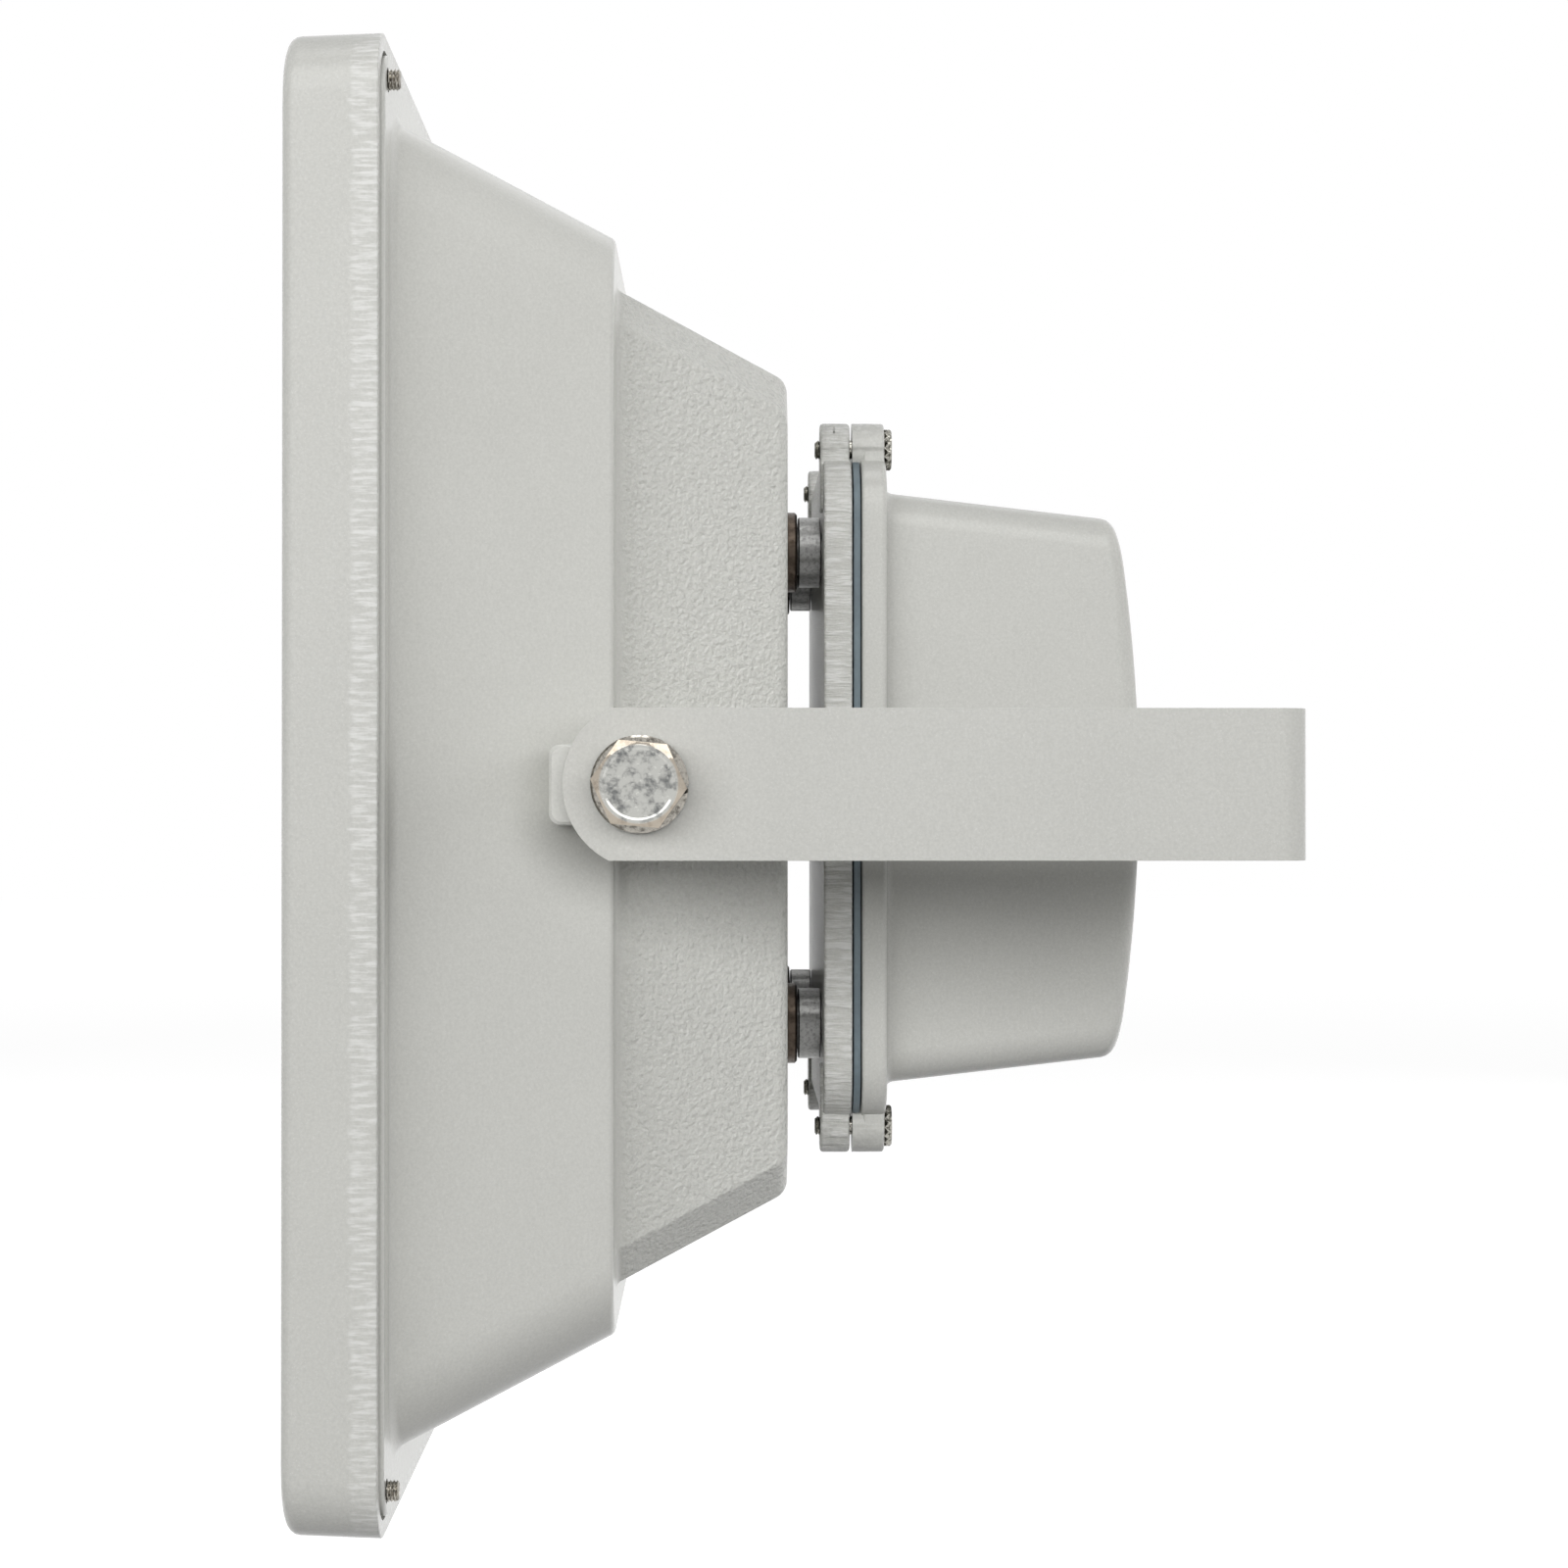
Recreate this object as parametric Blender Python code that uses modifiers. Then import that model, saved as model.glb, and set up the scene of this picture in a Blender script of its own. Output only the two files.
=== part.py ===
"""LED flood light: a stepped cast housing with a rear driver box, on a tilting yoke.

Units are metres and +Z is up. The lamp faces -X, and the origin is the centre
of the yoke's rear face, where the light is bolted to a wall or a pole. Places
along the lamp are stations: distances behind the tilt axis, so a piece ahead
of the axis has a negative station. Most pieces are square to the lamp, so a
place across it is a (Y, Z) pair and a size across it is a half side.
"""

import math

import bmesh
import bpy
from mathutils import Matrix, Vector

# Gaps between seated pieces, cutters' overrun and the weld distance
SEAT_GAP = 0.0003
OVERRUN = 0.002
WELD_DISTANCE = 0.00001

# Facets
CORNER_POINTS = 6
FILLET_STEPS = 2
FINE_FILLET = 0.001
ROUND_STEPS = 12
SMALL_STEPS = 8
EDGE_SEGMENTS = 1
EDGE_ANGLE = math.radians(50)
SMOOTH_ANGLE = math.radians(32)

# Front frame: a door whose skirt covers the housing's flange
FRAME_SIDE = 0.345
FRAME_DRAFT = 0.0008
FRAME_WALL = 0.004
FRAME_CORNER_RADIUS = 0.016
FRAME_EDGE_RADIUS = 0.0035
FRAME_RIM_RADIUS = 0.0005
FRAME_FACE_THICKNESS = 0.005
FRAME_RECESS_RIM = 0.0009
WINDOW_CORNER_RADIUS = 0.006
WINDOW_EDGE_RADIUS = 0.0015

# Glass, and the gasket that wraps its edge
GLASS_LAP = 0.0055
GLASS_THICKNESS = 0.004
GLASS_CORNER_RADIUS = 0.008
GLASS_GASKET_THICKNESS = 0.0012
GLASS_GASKET_SETBACK = 0.0006
GLASS_BACKING_DEPTH = 0.0046
GLASS_BACKING_LAP = 0.0035

# Housing: flange, bowl, step and chamber in one casting
FLANGE_CLEARANCE = 0.001
FLANGE_PROUD = 0.0011
FLANGE_THICKNESS = 0.006
FLANGE_EDGE_RADIUS = 0.0008
FLANGE_LIP = 0.0116
BOWL_DEPTH = 0.0506
BOWL_DRAFT = math.radians(24.6)
BOWL_CORNER_RADIUS = 0.020
BOWL_ROOT_RADIUS = 0.003
BOWL_EDGE_RADIUS = 0.002
STEP_WIDTH = 0.0115
STEP_AHEAD_OF_AXIS = 0.007
CHAMBER_DEPTH = 0.042
CHAMBER_DRAFT = math.radians(25.4)
CHAMBER_CUT = 0.009
CHAMBER_CUT_RADIUS = 0.0015
CHAMBER_ROOT_RADIUS = 0.0025
CHAMBER_EDGE_RADIUS = 0.0045
HOUSING_WALL = 0.004
HOUSING_GASKET_THICKNESS = 0.0014
HOUSING_GASKET_WIDTH = 0.0038
HOUSING_GASKET_CORNER_RADIUS = 0.010

# Pivot bosses on the housing's sides
PIVOT_BOSS_LENGTH = 0.042
PIVOT_BOSS_HEIGHT = 0.0184
PIVOT_BOSS_PROUD = 0.0013
PIVOT_BOSS_DRAFT = 0.0012
PIVOT_BOSS_CORNER = 0.0025
PIVOT_BOSS_ROOT = 0.012
PIVOT_HOLE_SPARE = 0.002

# Pivot bolts, M12, and their split washers
PIVOT_BOLT_DIAMETER = 0.012
PIVOT_BOLT_FLATS = 0.019
PIVOT_BOLT_HEAD = 0.0075
PIVOT_BOLT_LENGTH = 0.030
PIVOT_BOLT_FACE_SETBACK = 0.0006
PIVOT_BOLT_TURN = math.radians(-5)
LOCK_WASHER_WIDTH = 0.0049
LOCK_WASHER_THICKNESS = 0.0028
LOCK_WASHER_SPLIT = 0.0016
LOCK_WASHER_SLANT = math.radians(25)
HOLE_CLEARANCE = 0.0003
HEX_CHAMFER = math.radians(30)
THREAD_CHAMFER = 0.0006

# Yoke, a bent strip whose arms end in an arc round a point behind the axis
STRIP_WIDTH = 0.035
STRIP_THICKNESS = 0.005
STRIP_BEND_RADIUS = 0.0015
STRIP_EDGE_RADIUS = 0.0006
ARM_END_EXTRA = 0.0022
ARM_END_BEHIND_AXIS = 0.002
ARM_HOLE_CLEARANCE = 0.0005
SWING_CLEARANCE = 0.007
BEND_STEPS = 4
YOKE_HOLE_DIAMETER = 0.013
YOKE_HOLE_SPACING = 0.100
YOKE_SLOT_LENGTH = 0.026
YOKE_SLOT_WIDTH = 0.011
YOKE_SLOT_SPACING = 0.190

# Frame screws, M5 socket heads sunk in the frame's corners
FRAME_SCREW_DIAMETER = 0.005
FRAME_SCREW_HEAD_DIAMETER = 0.0085
FRAME_SCREW_HEAD = 0.005
FRAME_SCREW_SINK = 0.0002
FRAME_SCREW_EDGE = 0.0045
FRAME_SCREW_END = 0.003
FRAME_SCREW_SOCKET = 0.004
FRAME_SCREW_SOCKET_DEPTH = 0.0025
HEAD_CLEARANCE = 0.0004
HEAD_CHAMFER = 0.0004

# Heat spreader and board on the housing's inner ledge
SPREADER_CLEARANCE = 0.0015
SPREADER_THICKNESS = 0.003
SPREADER_CORNER_RADIUS = 0.012
SPREADER_LEAD_CLEARANCE = 0.0015
BOARD_SETBACK = 0.0125
BOARD_THICKNESS = 0.0016
BOARD_CORNER_RADIUS = 0.004
BOARD_SCREW_INSET = 0.007
BOARD_SCREW_DIAMETER = 0.004
BOARD_SCREW_HEAD_DIAMETER = 0.007
BOARD_SCREW_HEAD = 0.0026
BOARD_SCREW_SOCKET = 0.0025
BOARD_SCREW_SOCKET_DEPTH = 0.0014
BOARD_SCREW_GRIP = 0.005
BOARD_HOLE_SPARE = 0.001
BOARD_POST_WALL = 0.0045

# Light chips, their lens panel and the reflector
LED_COUNT = 5
CHIP_SIDE = 0.0055
CHIP_HEIGHT = 0.001
CHIP_SINK = 0.0003
REFLECTOR_MARGIN = 0.016
REFLECTOR_THICKNESS = 0.0008
REFLECTOR_LAP = 0.0011
REFLECTOR_MOUTH_INSET = 0.0035
REFLECTOR_CLEARANCE = 0.0006
REFLECTOR_CORNER_RADIUS = 0.010
PANEL_CLEARANCE = 0.002
PANEL_CORNER_RADIUS = 0.008
PANEL_THICKNESS = 0.0025
PANEL_RIM_DEPTH = 0.0022
PANEL_RIM_WIDTH = 0.002
LENS_HEIGHT = 0.0085
LENS_FILL_SHARE = 0.4
LENS_SINK = 0.0003
LENS_ROOT = 0.0009
LENS_RINGS = 2
LENS_STEPS = 8

# Stand-offs between housing and driver box, with a ring and a nut each
STANDOFF_GAP = 0.0098
STANDOFF_FROM_SIDE = 0.024
STANDOFF_FROM_END = 0.0241
STANDOFF_SPIGOT_WALL = 0.0025
STANDOFF_SHOULDER = 0.0032
STANDOFF_RING_WALL = 0.0042
STANDOFF_RING_THICKNESS = 0.003
STANDOFF_NUT_WALL = 0.0022
STANDOFF_NUT_THICKNESS = 0.004
STANDOFF_THREAD_END = 0.001
LEAD_CLEARANCE = 0.001

# Driver box: base plate, gasket, cover and ears
BOX_WIDTH = 0.148
BOX_HEIGHT = 0.172
BOX_CORNER_RADIUS = 0.015
BASE_THICKNESS = 0.0073
BASE_EDGE_RADIUS = 0.0008
BOX_GASKET_THICKNESS = 0.0018
BOX_GASKET_INSET = 0.0004
BOX_GASKET_WIDTH = 0.0115
COVER_FLANGE_THICKNESS = 0.0066
COVER_FLANGE_RADIUS = 0.0016
COVER_FLANGE_WIDTH = 0.009
COVER_WALL = 0.0035
COVER_DEPTH = 0.0682
COVER_CROWN = 0.0054
COVER_DRAFT = math.radians(6)
COVER_CORNER_RADIUS = 0.009
COVER_ROOT_RADIUS = 0.0025
COVER_EDGE_RADIUS = 0.005
COVER_INNER_RADIUS = 0.003
COVER_SIDE_STEPS = 4
EAR_WALL = 0.00105
EAR_FROM_SIDE = 0.0152
EAR_BEYOND_END = 0.002
EAR_NECK = 0.016
EAR_EDGE_RADIUS = 0.0008
EAR_FORWARD = 0.0007
EAR_SETBACK = 0.0004
EAR_GASKET_CLEARANCE = 0.0005

# Cover screws, M5, with knurled heads sunk in the ears
COVER_SCREW_DIAMETER = 0.005
COVER_SCREW_HEAD_DIAMETER = 0.0107
COVER_SCREW_HEAD = 0.0055
COVER_SCREW_PROUD = 0.002
COVER_SCREW_SOCKET = 0.005
COVER_SCREW_SOCKET_DEPTH = 0.003
COVER_SCREW_END = 0.0013

# LED driver, screwed to the base plate by its two feet
DRIVER_HEIGHT = 0.036
DRIVER_NUT_CLEARANCE = 0.007
DRIVER_END_CLEARANCE = 0.0035
DRIVER_EDGE_RADIUS = 0.0025
FOOT_LENGTH = 0.010
FOOT_WIDTH = 0.024
FOOT_THICKNESS = 0.002
FOOT_PROUD = 0.0005
FOOT_SCREW_DIAMETER = 0.004
FOOT_SCREW_HEAD_DIAMETER = 0.0075
FOOT_SCREW_HEAD = 0.0026
FOOT_SCREW_SOCKET = 0.0025
FOOT_SCREW_SOCKET_DEPTH = 0.0014
FOOT_SCREW_GRIP = 0.0045
FOOT_HOLE_SPARE = 0.0008

# Terminal block below the driver
TERMINAL_PITCH = 0.010
TERMINAL_WAYS = 5
TERMINAL_DEPTH = 0.016
TERMINAL_HEIGHT = 0.017
TERMINAL_STEP_HEIGHT = 0.011
TERMINAL_STEP_DEPTH = 0.006
TERMINAL_ENTRY_DIAMETER = 0.0045
TERMINAL_ENTRY_DEPTH = 0.006
TERMINAL_DRIVER_CLEARANCE = 0.011
TERMINAL_WIRING = 0.0105

# Lead from the driver to the board, through a stand-off
LEAD_DIAMETER = 0.005
LEAD_BEND_RADIUS = 0.006
LEAD_STEPS = 6
LEAD_RISE = 0.023
LEAD_FROM_END = 0.012
LEAD_RESOLUTION = 2

# Cable gland in the cover's far side
GLAND_STATION_SHARE = 0.52
GLAND_PAD_WALL = 0.0025
GLAND_PAD_PROUD = 0.0025
GLAND_FLATS = 0.024
GLAND_FLANGE = 0.006
GLAND_BORE = 0.012
GLAND_NECK_WALL = 0.0025
GLAND_NECK_LENGTH = 0.010
GLAND_THREAD_WALL = 0.0037
GLAND_NUT_GAP = 0.001
GLAND_NUT_HEX = 0.009
GLAND_NUT_END = 0.002
GLAND_NUT_MOUTH_WALL = 0.0032
GLAND_SEAL_BORE = 0.007
GLAND_SEAL_LENGTH = 0.0035
LOCKNUT_FLATS = 0.027
LOCKNUT_THICKNESS = 0.005
GLAND_FLANGE_SETBACK = 0.0007
GLAND_THREAD_END = 0.001

# Names, linear colours, roughness and metallic values of the materials
POWDER_COAT = ("powder_coat", (0.57, 0.57, 0.55), 0.42, 0.1)
BRIGHT_STEEL = ("bright_steel", (0.55, 0.53, 0.49), 0.32, 1.0)
DARK_STEEL = ("dark_steel", (0.07, 0.07, 0.07), 0.45, 0.7)
BLUE_RUBBER = ("blue_rubber", (0.16, 0.21, 0.24), 0.6, 0.0)
WHITE_SILICONE = ("white_silicone", (0.75, 0.75, 0.73), 0.6, 0.0)
CLEAR_GLASS = ("clear_glass", (0.85, 0.90, 0.88), 0.05, 0.0)
LENS_PLASTIC = ("lens_plastic", (0.88, 0.90, 0.90), 0.1, 0.0)
BRIGHT_ALUMINIUM = ("bright_aluminium", (0.80, 0.81, 0.82), 0.2, 1.0)
PLAIN_ALUMINIUM = ("plain_aluminium", (0.62, 0.63, 0.64), 0.4, 1.0)
BOARD_MASK = ("board_mask", (0.78, 0.79, 0.77), 0.35, 0.0)
TERMINAL_NYLON = ("terminal_nylon", (0.72, 0.71, 0.66), 0.5, 0.0)
LEAD_JACKET = ("lead_jacket", (0.03, 0.03, 0.03), 0.6, 0.0)
NICKEL = ("nickel", (0.66, 0.62, 0.55), 0.25, 1.0)

PARTS = "led_flood_light"
CUTTERS = "cutters"
TILT_AXIS = "tilt_axis"

# Stations of the housing and the driver box
STEP_STATION = -STEP_AHEAD_OF_AXIS
FLANGE_REAR = STEP_STATION - BOWL_DEPTH
FLANGE_FRONT = FLANGE_REAR - FLANGE_THICKNESS
HOUSING_REAR = STEP_STATION + CHAMBER_DEPTH
BASE_FRONT = HOUSING_REAR + STANDOFF_GAP
BASE_REAR = BASE_FRONT + BASE_THICKNESS
COVER_FRONT = BASE_REAR + BOX_GASKET_THICKNESS + 2 * SEAT_GAP
COVER_FLANGE_REAR = COVER_FRONT + COVER_FLANGE_THICKNESS
COVER_REAR = COVER_FRONT + COVER_DEPTH

# Stations of the front, from the flange forward
REFLECTOR_LIP_FRONT = FLANGE_FRONT - SEAT_GAP - REFLECTOR_THICKNESS
GLASS_GASKET_REAR = REFLECTOR_LIP_FRONT - SEAT_GAP
GLASS_REAR = GLASS_GASKET_REAR - GLASS_BACKING_DEPTH - SEAT_GAP
GLASS_FRONT = GLASS_REAR - GLASS_THICKNESS
GLASS_GASKET_FRONT = GLASS_FRONT - SEAT_GAP - GLASS_GASKET_THICKNESS
FRAME_FACE_REAR = GLASS_GASKET_FRONT - SEAT_GAP
FRAME_FRONT = FRAME_FACE_REAR - FRAME_FACE_THICKNESS
FRAME_SEAT = FLANGE_FRONT - HOUSING_GASKET_THICKNESS - 2 * SEAT_GAP
FRAME_RIM = FLANGE_REAR - FLANGE_PROUD

# Half sides of the housing's front and of what it holds
BOWL_WALL_ACROSS = HOUSING_WALL / math.cos(BOWL_DRAFT)
CHAMBER_WALL_ACROSS = HOUSING_WALL / math.cos(CHAMBER_DRAFT)
FRAME_HALF = FRAME_SIDE / 2
SKIRT_INNER_HALF = FRAME_HALF - FRAME_WALL
SKIRT_INNER_RADIUS = FRAME_CORNER_RADIUS - FRAME_WALL
FLANGE_HALF = SKIRT_INNER_HALF - FLANGE_CLEARANCE
FLANGE_RADIUS = SKIRT_INNER_RADIUS - FLANGE_CLEARANCE
BOWL_FRONT_HALF = FLANGE_HALF - FLANGE_LIP
MOUTH_HALF = BOWL_FRONT_HALF - BOWL_WALL_ACROSS
REFLECTOR_LIP_HALF = MOUTH_HALF + REFLECTOR_LAP
GASKET_INNER_HALF = REFLECTOR_LIP_HALF + REFLECTOR_CLEARANCE
GASKET_OUTER_HALF = GASKET_INNER_HALF + HOUSING_GASKET_WIDTH
RECESS_HALF = GASKET_INNER_HALF - FRAME_RECESS_RIM
GLASS_GASKET_HALF = RECESS_HALF - SEAT_GAP
GLASS_HALF = GLASS_GASKET_HALF - GLASS_GASKET_THICKNESS - SEAT_GAP
WINDOW_HALF = GLASS_HALF - GLASS_LAP
FRAME_SCREW_RUN = (FLANGE_RADIUS - FRAME_SCREW_EDGE) / math.sqrt(2)
FRAME_SCREW_PLACE = FLANGE_HALF - FLANGE_RADIUS + FRAME_SCREW_RUN


def bowl_half(station):
    """Half side of the bowl's outer wall."""
    return BOWL_FRONT_HALF - (station - FLANGE_REAR) * math.tan(BOWL_DRAFT)


def chamber_half(station):
    """Half side of the chamber's outer wall."""
    root = bowl_half(STEP_STATION) - STEP_WIDTH
    return root - (station - STEP_STATION) * math.tan(CHAMBER_DRAFT)


def cover_inset(station):
    """How far the cover's wall lies inside its flange's outline."""
    return COVER_FLANGE_WIDTH + (station - COVER_FLANGE_REAR) * math.tan(COVER_DRAFT)


# Light source, from the housing's inner ledge forward
LEDGE = STEP_STATION - HOUSING_WALL
SPREADER_REAR = LEDGE - SEAT_GAP
SPREADER_FRONT = SPREADER_REAR - SPREADER_THICKNESS
BOARD_REAR = SPREADER_FRONT - SEAT_GAP
BOARD_FRONT = BOARD_REAR - BOARD_THICKNESS
PANEL_REAR = BOARD_FRONT - SEAT_GAP
PANEL_INSIDE = PANEL_REAR - PANEL_RIM_DEPTH
PANEL_FACE = PANEL_INSIDE - PANEL_THICKNESS
SPREADER_HALF = bowl_half(LEDGE) - BOWL_WALL_ACROSS - SPREADER_CLEARANCE
BOARD_HALF = SPREADER_HALF - BOARD_SETBACK
THROAT_HALF = BOARD_HALF - REFLECTOR_MARGIN
PANEL_HALF = THROAT_HALF - PANEL_CLEARANCE
LED_PITCH = 2 * PANEL_HALF / LED_COUNT
BOARD_SCREW_PLACE = BOARD_HALF - BOARD_SCREW_INSET

# Driver box, its ears and the stand-offs that carry it
BOX_HALF_Y = BOX_WIDTH / 2
BOX_HALF_Z = BOX_HEIGHT / 2
EAR_RADIUS = COVER_SCREW_HEAD_DIAMETER / 2 + HEAD_CLEARANCE + EAR_WALL
EAR_Y = BOX_HALF_Y - EAR_FROM_SIDE
EAR_Z = BOX_HALF_Z + EAR_BEYOND_END
BASE_EAR_FRONT = BASE_FRONT - EAR_FORWARD
BASE_EAR_REAR = BASE_REAR - EAR_SETBACK
COVER_EAR_FRONT = BASE_REAR + SEAT_GAP
COVER_EAR_REAR = COVER_FLANGE_REAR - EAR_SETBACK
COVER_SCREW_SEAT = COVER_EAR_REAR + COVER_SCREW_PROUD - COVER_SCREW_HEAD
STANDOFF_Y = BOX_HALF_Y - STANDOFF_FROM_SIDE
STANDOFF_Z = BOX_HALF_Z - STANDOFF_FROM_END
STANDOFF_BORE = LEAD_DIAMETER + 2 * LEAD_CLEARANCE
STANDOFF_SPIGOT = STANDOFF_BORE + 2 * STANDOFF_SPIGOT_WALL
STANDOFF_DIAMETER = STANDOFF_SPIGOT + 2 * STANDOFF_SHOULDER
STANDOFF_HOLE = STANDOFF_SPIGOT + 2 * HOLE_CLEARANCE
STANDOFF_NUT_FLATS = STANDOFF_HOLE + 2 * STANDOFF_NUT_WALL
STANDOFF_NUT_FRONT = BASE_REAR + SEAT_GAP
STANDOFF_NUT_REAR = STANDOFF_NUT_FRONT + STANDOFF_NUT_THICKNESS

# Inside of the driver box
COVER_INNER_HALF_Z = BOX_HALF_Z - COVER_FLANGE_WIDTH - COVER_WALL
DRIVER_HALF_Y = STANDOFF_Y - STANDOFF_NUT_FLATS / math.sqrt(3) - DRIVER_NUT_CLEARANCE
DRIVER_FRONT = BASE_REAR + SEAT_GAP
FOOT_REAR = DRIVER_FRONT + FOOT_THICKNESS
DRIVER_TOP = COVER_INNER_HALF_Z - DRIVER_END_CLEARANCE - FOOT_LENGTH
TERMINAL_BOTTOM = TERMINAL_WIRING - COVER_INNER_HALF_Z
TERMINAL_TOP = TERMINAL_BOTTOM + TERMINAL_DEPTH
DRIVER_BOTTOM = TERMINAL_TOP + TERMINAL_DRIVER_CLEARANCE
FOOT_SCREW_PLACES = (
    (0, DRIVER_TOP + FOOT_LENGTH / 2),
    (0, DRIVER_BOTTOM - FOOT_LENGTH / 2),
)

# Gland in the cover's far side: the distances across are along +Y
GLAND_THREAD = GLAND_BORE + 2 * GLAND_THREAD_WALL
GLAND_HOLE = GLAND_THREAD + 2 * HOLE_CLEARANCE
GLAND_PAD_RADIUS = LOCKNUT_FLATS / 2 + GLAND_PAD_WALL
GLAND_STATION = COVER_FLANGE_REAR + (COVER_REAR - COVER_FLANGE_REAR) * GLAND_STATION_SHARE
GLAND_FACE = BOX_HALF_Y - cover_inset(GLAND_STATION - GLAND_PAD_RADIUS) + GLAND_PAD_PROUD
GLAND_SEAT = BOX_HALF_Y - cover_inset(GLAND_STATION + GLAND_PAD_RADIUS) - COVER_WALL

# Pivot: the yoke swings clear of the driver box's rear edge and of the bowl
BOSS_FACE = BOWL_FRONT_HALF + PIVOT_BOSS_PROUD
ARM_INNER = BOSS_FACE + SEAT_GAP
ARM_OUTER = ARM_INNER + STRIP_THICKNESS
ARM_END_RADIUS = STRIP_WIDTH / 2 + ARM_END_EXTRA
PIVOT_HOLE = PIVOT_BOLT_DIAMETER + 2 * HOLE_CLEARANCE
PIVOT_BOLT_SEAT = ARM_OUTER + LOCK_WASHER_THICKNESS + 2 * SEAT_GAP
BOX_SWING = math.hypot(COVER_REAR, BOX_HALF_Z - cover_inset(COVER_REAR))
BOWL_SWING = math.hypot(STRIP_WIDTH / 2, bowl_half(-STRIP_WIDTH / 2))
YOKE_REACH = max(BOX_SWING, BOWL_SWING) + SWING_CLEARANCE + STRIP_THICKNESS

# Turns that lay a piece's own Z along the way named
ALONG = {
    "rear": (0, math.pi / 2, 0),
    "front": (0, -math.pi / 2, 0),
    "far": (-math.pi / 2, 0, 0),
    "near": (math.pi / 2, 0, 0),
}
CORNERS = ((1, 1), (-1, 1), (-1, -1), (1, -1))


def clear_scene():
    """Removes every object of the scene."""
    for obj in list(bpy.data.objects):
        bpy.data.objects.remove(obj, do_unlink=True)


def new_collection(name):
    """Adds a collection to the scene."""
    collection = bpy.data.collections.new(name)
    bpy.context.scene.collection.children.link(collection)
    return collection


def finish(look):
    """The material of a (name, colour, roughness, metallic) look."""
    name, colour, roughness, metallic = look
    material = bpy.data.materials.get(name)
    if material:
        return material
    material = bpy.data.materials.new(name)
    material.use_nodes = True
    material.diffuse_color = (*colour, 1)
    shader = material.node_tree.nodes["Principled BSDF"]
    shader.inputs["Base Color"].default_value = (*colour, 1)
    shader.inputs["Roughness"].default_value = roughness
    shader.inputs["Metallic"].default_value = metallic
    return material


def piece(name, mesh, look, at=(0, 0, 0), turn=(0, 0, 0), carrier=TILT_AXIS):
    """Adds a part: a mesh with its material, carried by an empty."""
    mesh.materials.clear()
    mesh.materials.append(finish(look))
    obj = bpy.data.objects.new(name, mesh)
    bpy.data.collections[PARTS].objects.link(obj)
    obj.parent = bpy.data.objects[carrier] if carrier else None
    obj.location = at
    obj.rotation_euler = turn
    return obj


def cutter(name, mesh, at=(0, 0, 0), turn=(0, 0, 0), carrier=TILT_AXIS):
    """Adds a helper that shapes a part and isn't one itself."""
    obj = bpy.data.objects.new(name, mesh)
    bpy.data.collections[CUTTERS].objects.link(obj)
    obj.parent = bpy.data.objects[carrier] if carrier else None
    obj.location = at
    obj.rotation_euler = turn
    obj.hide_render = True
    obj.display_type = "WIRE"
    return obj


def carve(obj, tool, operation="DIFFERENCE"):
    """Gives an object a Boolean with a tool."""
    modifier = obj.modifiers.new(f"{operation.lower()} {tool.name}"[:60], "BOOLEAN")
    modifier.operation = operation
    modifier.solver = "EXACT"
    modifier.object = tool


def soften(obj, width, segments=EDGE_SEGMENTS):
    """Gives an object's sharp edges a round."""
    modifier = obj.modifiers.new("soften", "BEVEL")
    modifier.width = width
    modifier.segments = segments
    modifier.limit_method = "ANGLE"
    modifier.angle_limit = EDGE_ANGLE


def evaluated_mesh(obj):
    """A new mesh of an object as its modifiers leave it."""
    bpy.context.view_layer.update()
    graph = bpy.context.evaluated_depsgraph_get()
    return bpy.data.meshes.new_from_object(obj.evaluated_get(graph))


def settle(obj):
    """Applies an object's modifiers and shades it smooth between its sharp edges."""
    mesh = evaluated_mesh(obj)
    obj.modifiers.clear()
    obj.data = mesh
    mesh.name = obj.name
    mesh.shade_smooth()
    mesh.set_sharp_from_angle(angle=SMOOTH_ANGLE)
    return obj


def copies(first, names, places):
    """Places further objects with the first one's mesh and turn."""
    for name, at in zip(names, places):
        obj = bpy.data.objects.new(name, first.data)
        bpy.data.collections[PARTS].objects.link(obj)
        obj.parent = first.parent
        obj.location = at
        obj.rotation_euler = first.rotation_euler


def four(name, mesh, look, station, half_y, half_z, turn, cuts=()):
    """Four alike pieces at the corners of a rectangle across the lamp."""
    places = [(station, half_y * y, half_z * z) for y, z in CORNERS]
    first = piece(f"{name}_1", mesh, look, places[0], turn)
    for tool in cuts:
        carve(first, cutter(f"{name}_{tool.name}", tool, places[0], turn))
    settle(first)
    copies(first, [f"{name}_{count}" for count in (2, 3, 4)], places[1:])


def mesh_from(bm, name):
    """A mesh of a bmesh, with its faces turned outwards."""
    bm.normal_update()
    bmesh.ops.recalc_face_normals(bm, faces=bm.faces)
    mesh = bpy.data.meshes.new(name)
    bm.to_mesh(mesh)
    bm.free()
    return mesh


def lay(verts, axis, offset=(0, 0), middle=0):
    """Turns what was made about Z to lie about another axis, and moves it."""
    for vert in verts:
        x, y, z = vert.co
        across = (x + offset[0], y + offset[1])
        along = z + middle
        if axis == "X":
            vert.co = (along, *across)
        elif axis == "Y":
            vert.co = (across[0], along, across[1])
        else:
            vert.co = (*across, along)


def cylinders(name, places, diameter, start, end, axis="X", steps=ROUND_STEPS):
    """Separate cylinders across an axis, whose facets lie on the diameter.

    A round piece of a smaller diameter passes through the hole that one cuts.
    """
    bm = bmesh.new()
    radius = diameter / 2 / math.cos(math.pi / steps)
    for offset in places:
        made = bmesh.ops.create_cone(
            bm,
            cap_ends=True,
            segments=steps,
            radius1=radius,
            radius2=radius,
            depth=end - start,
        )
        lay(made["verts"], axis, offset, (start + end) / 2)
    return mesh_from(bm, name)


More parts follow.
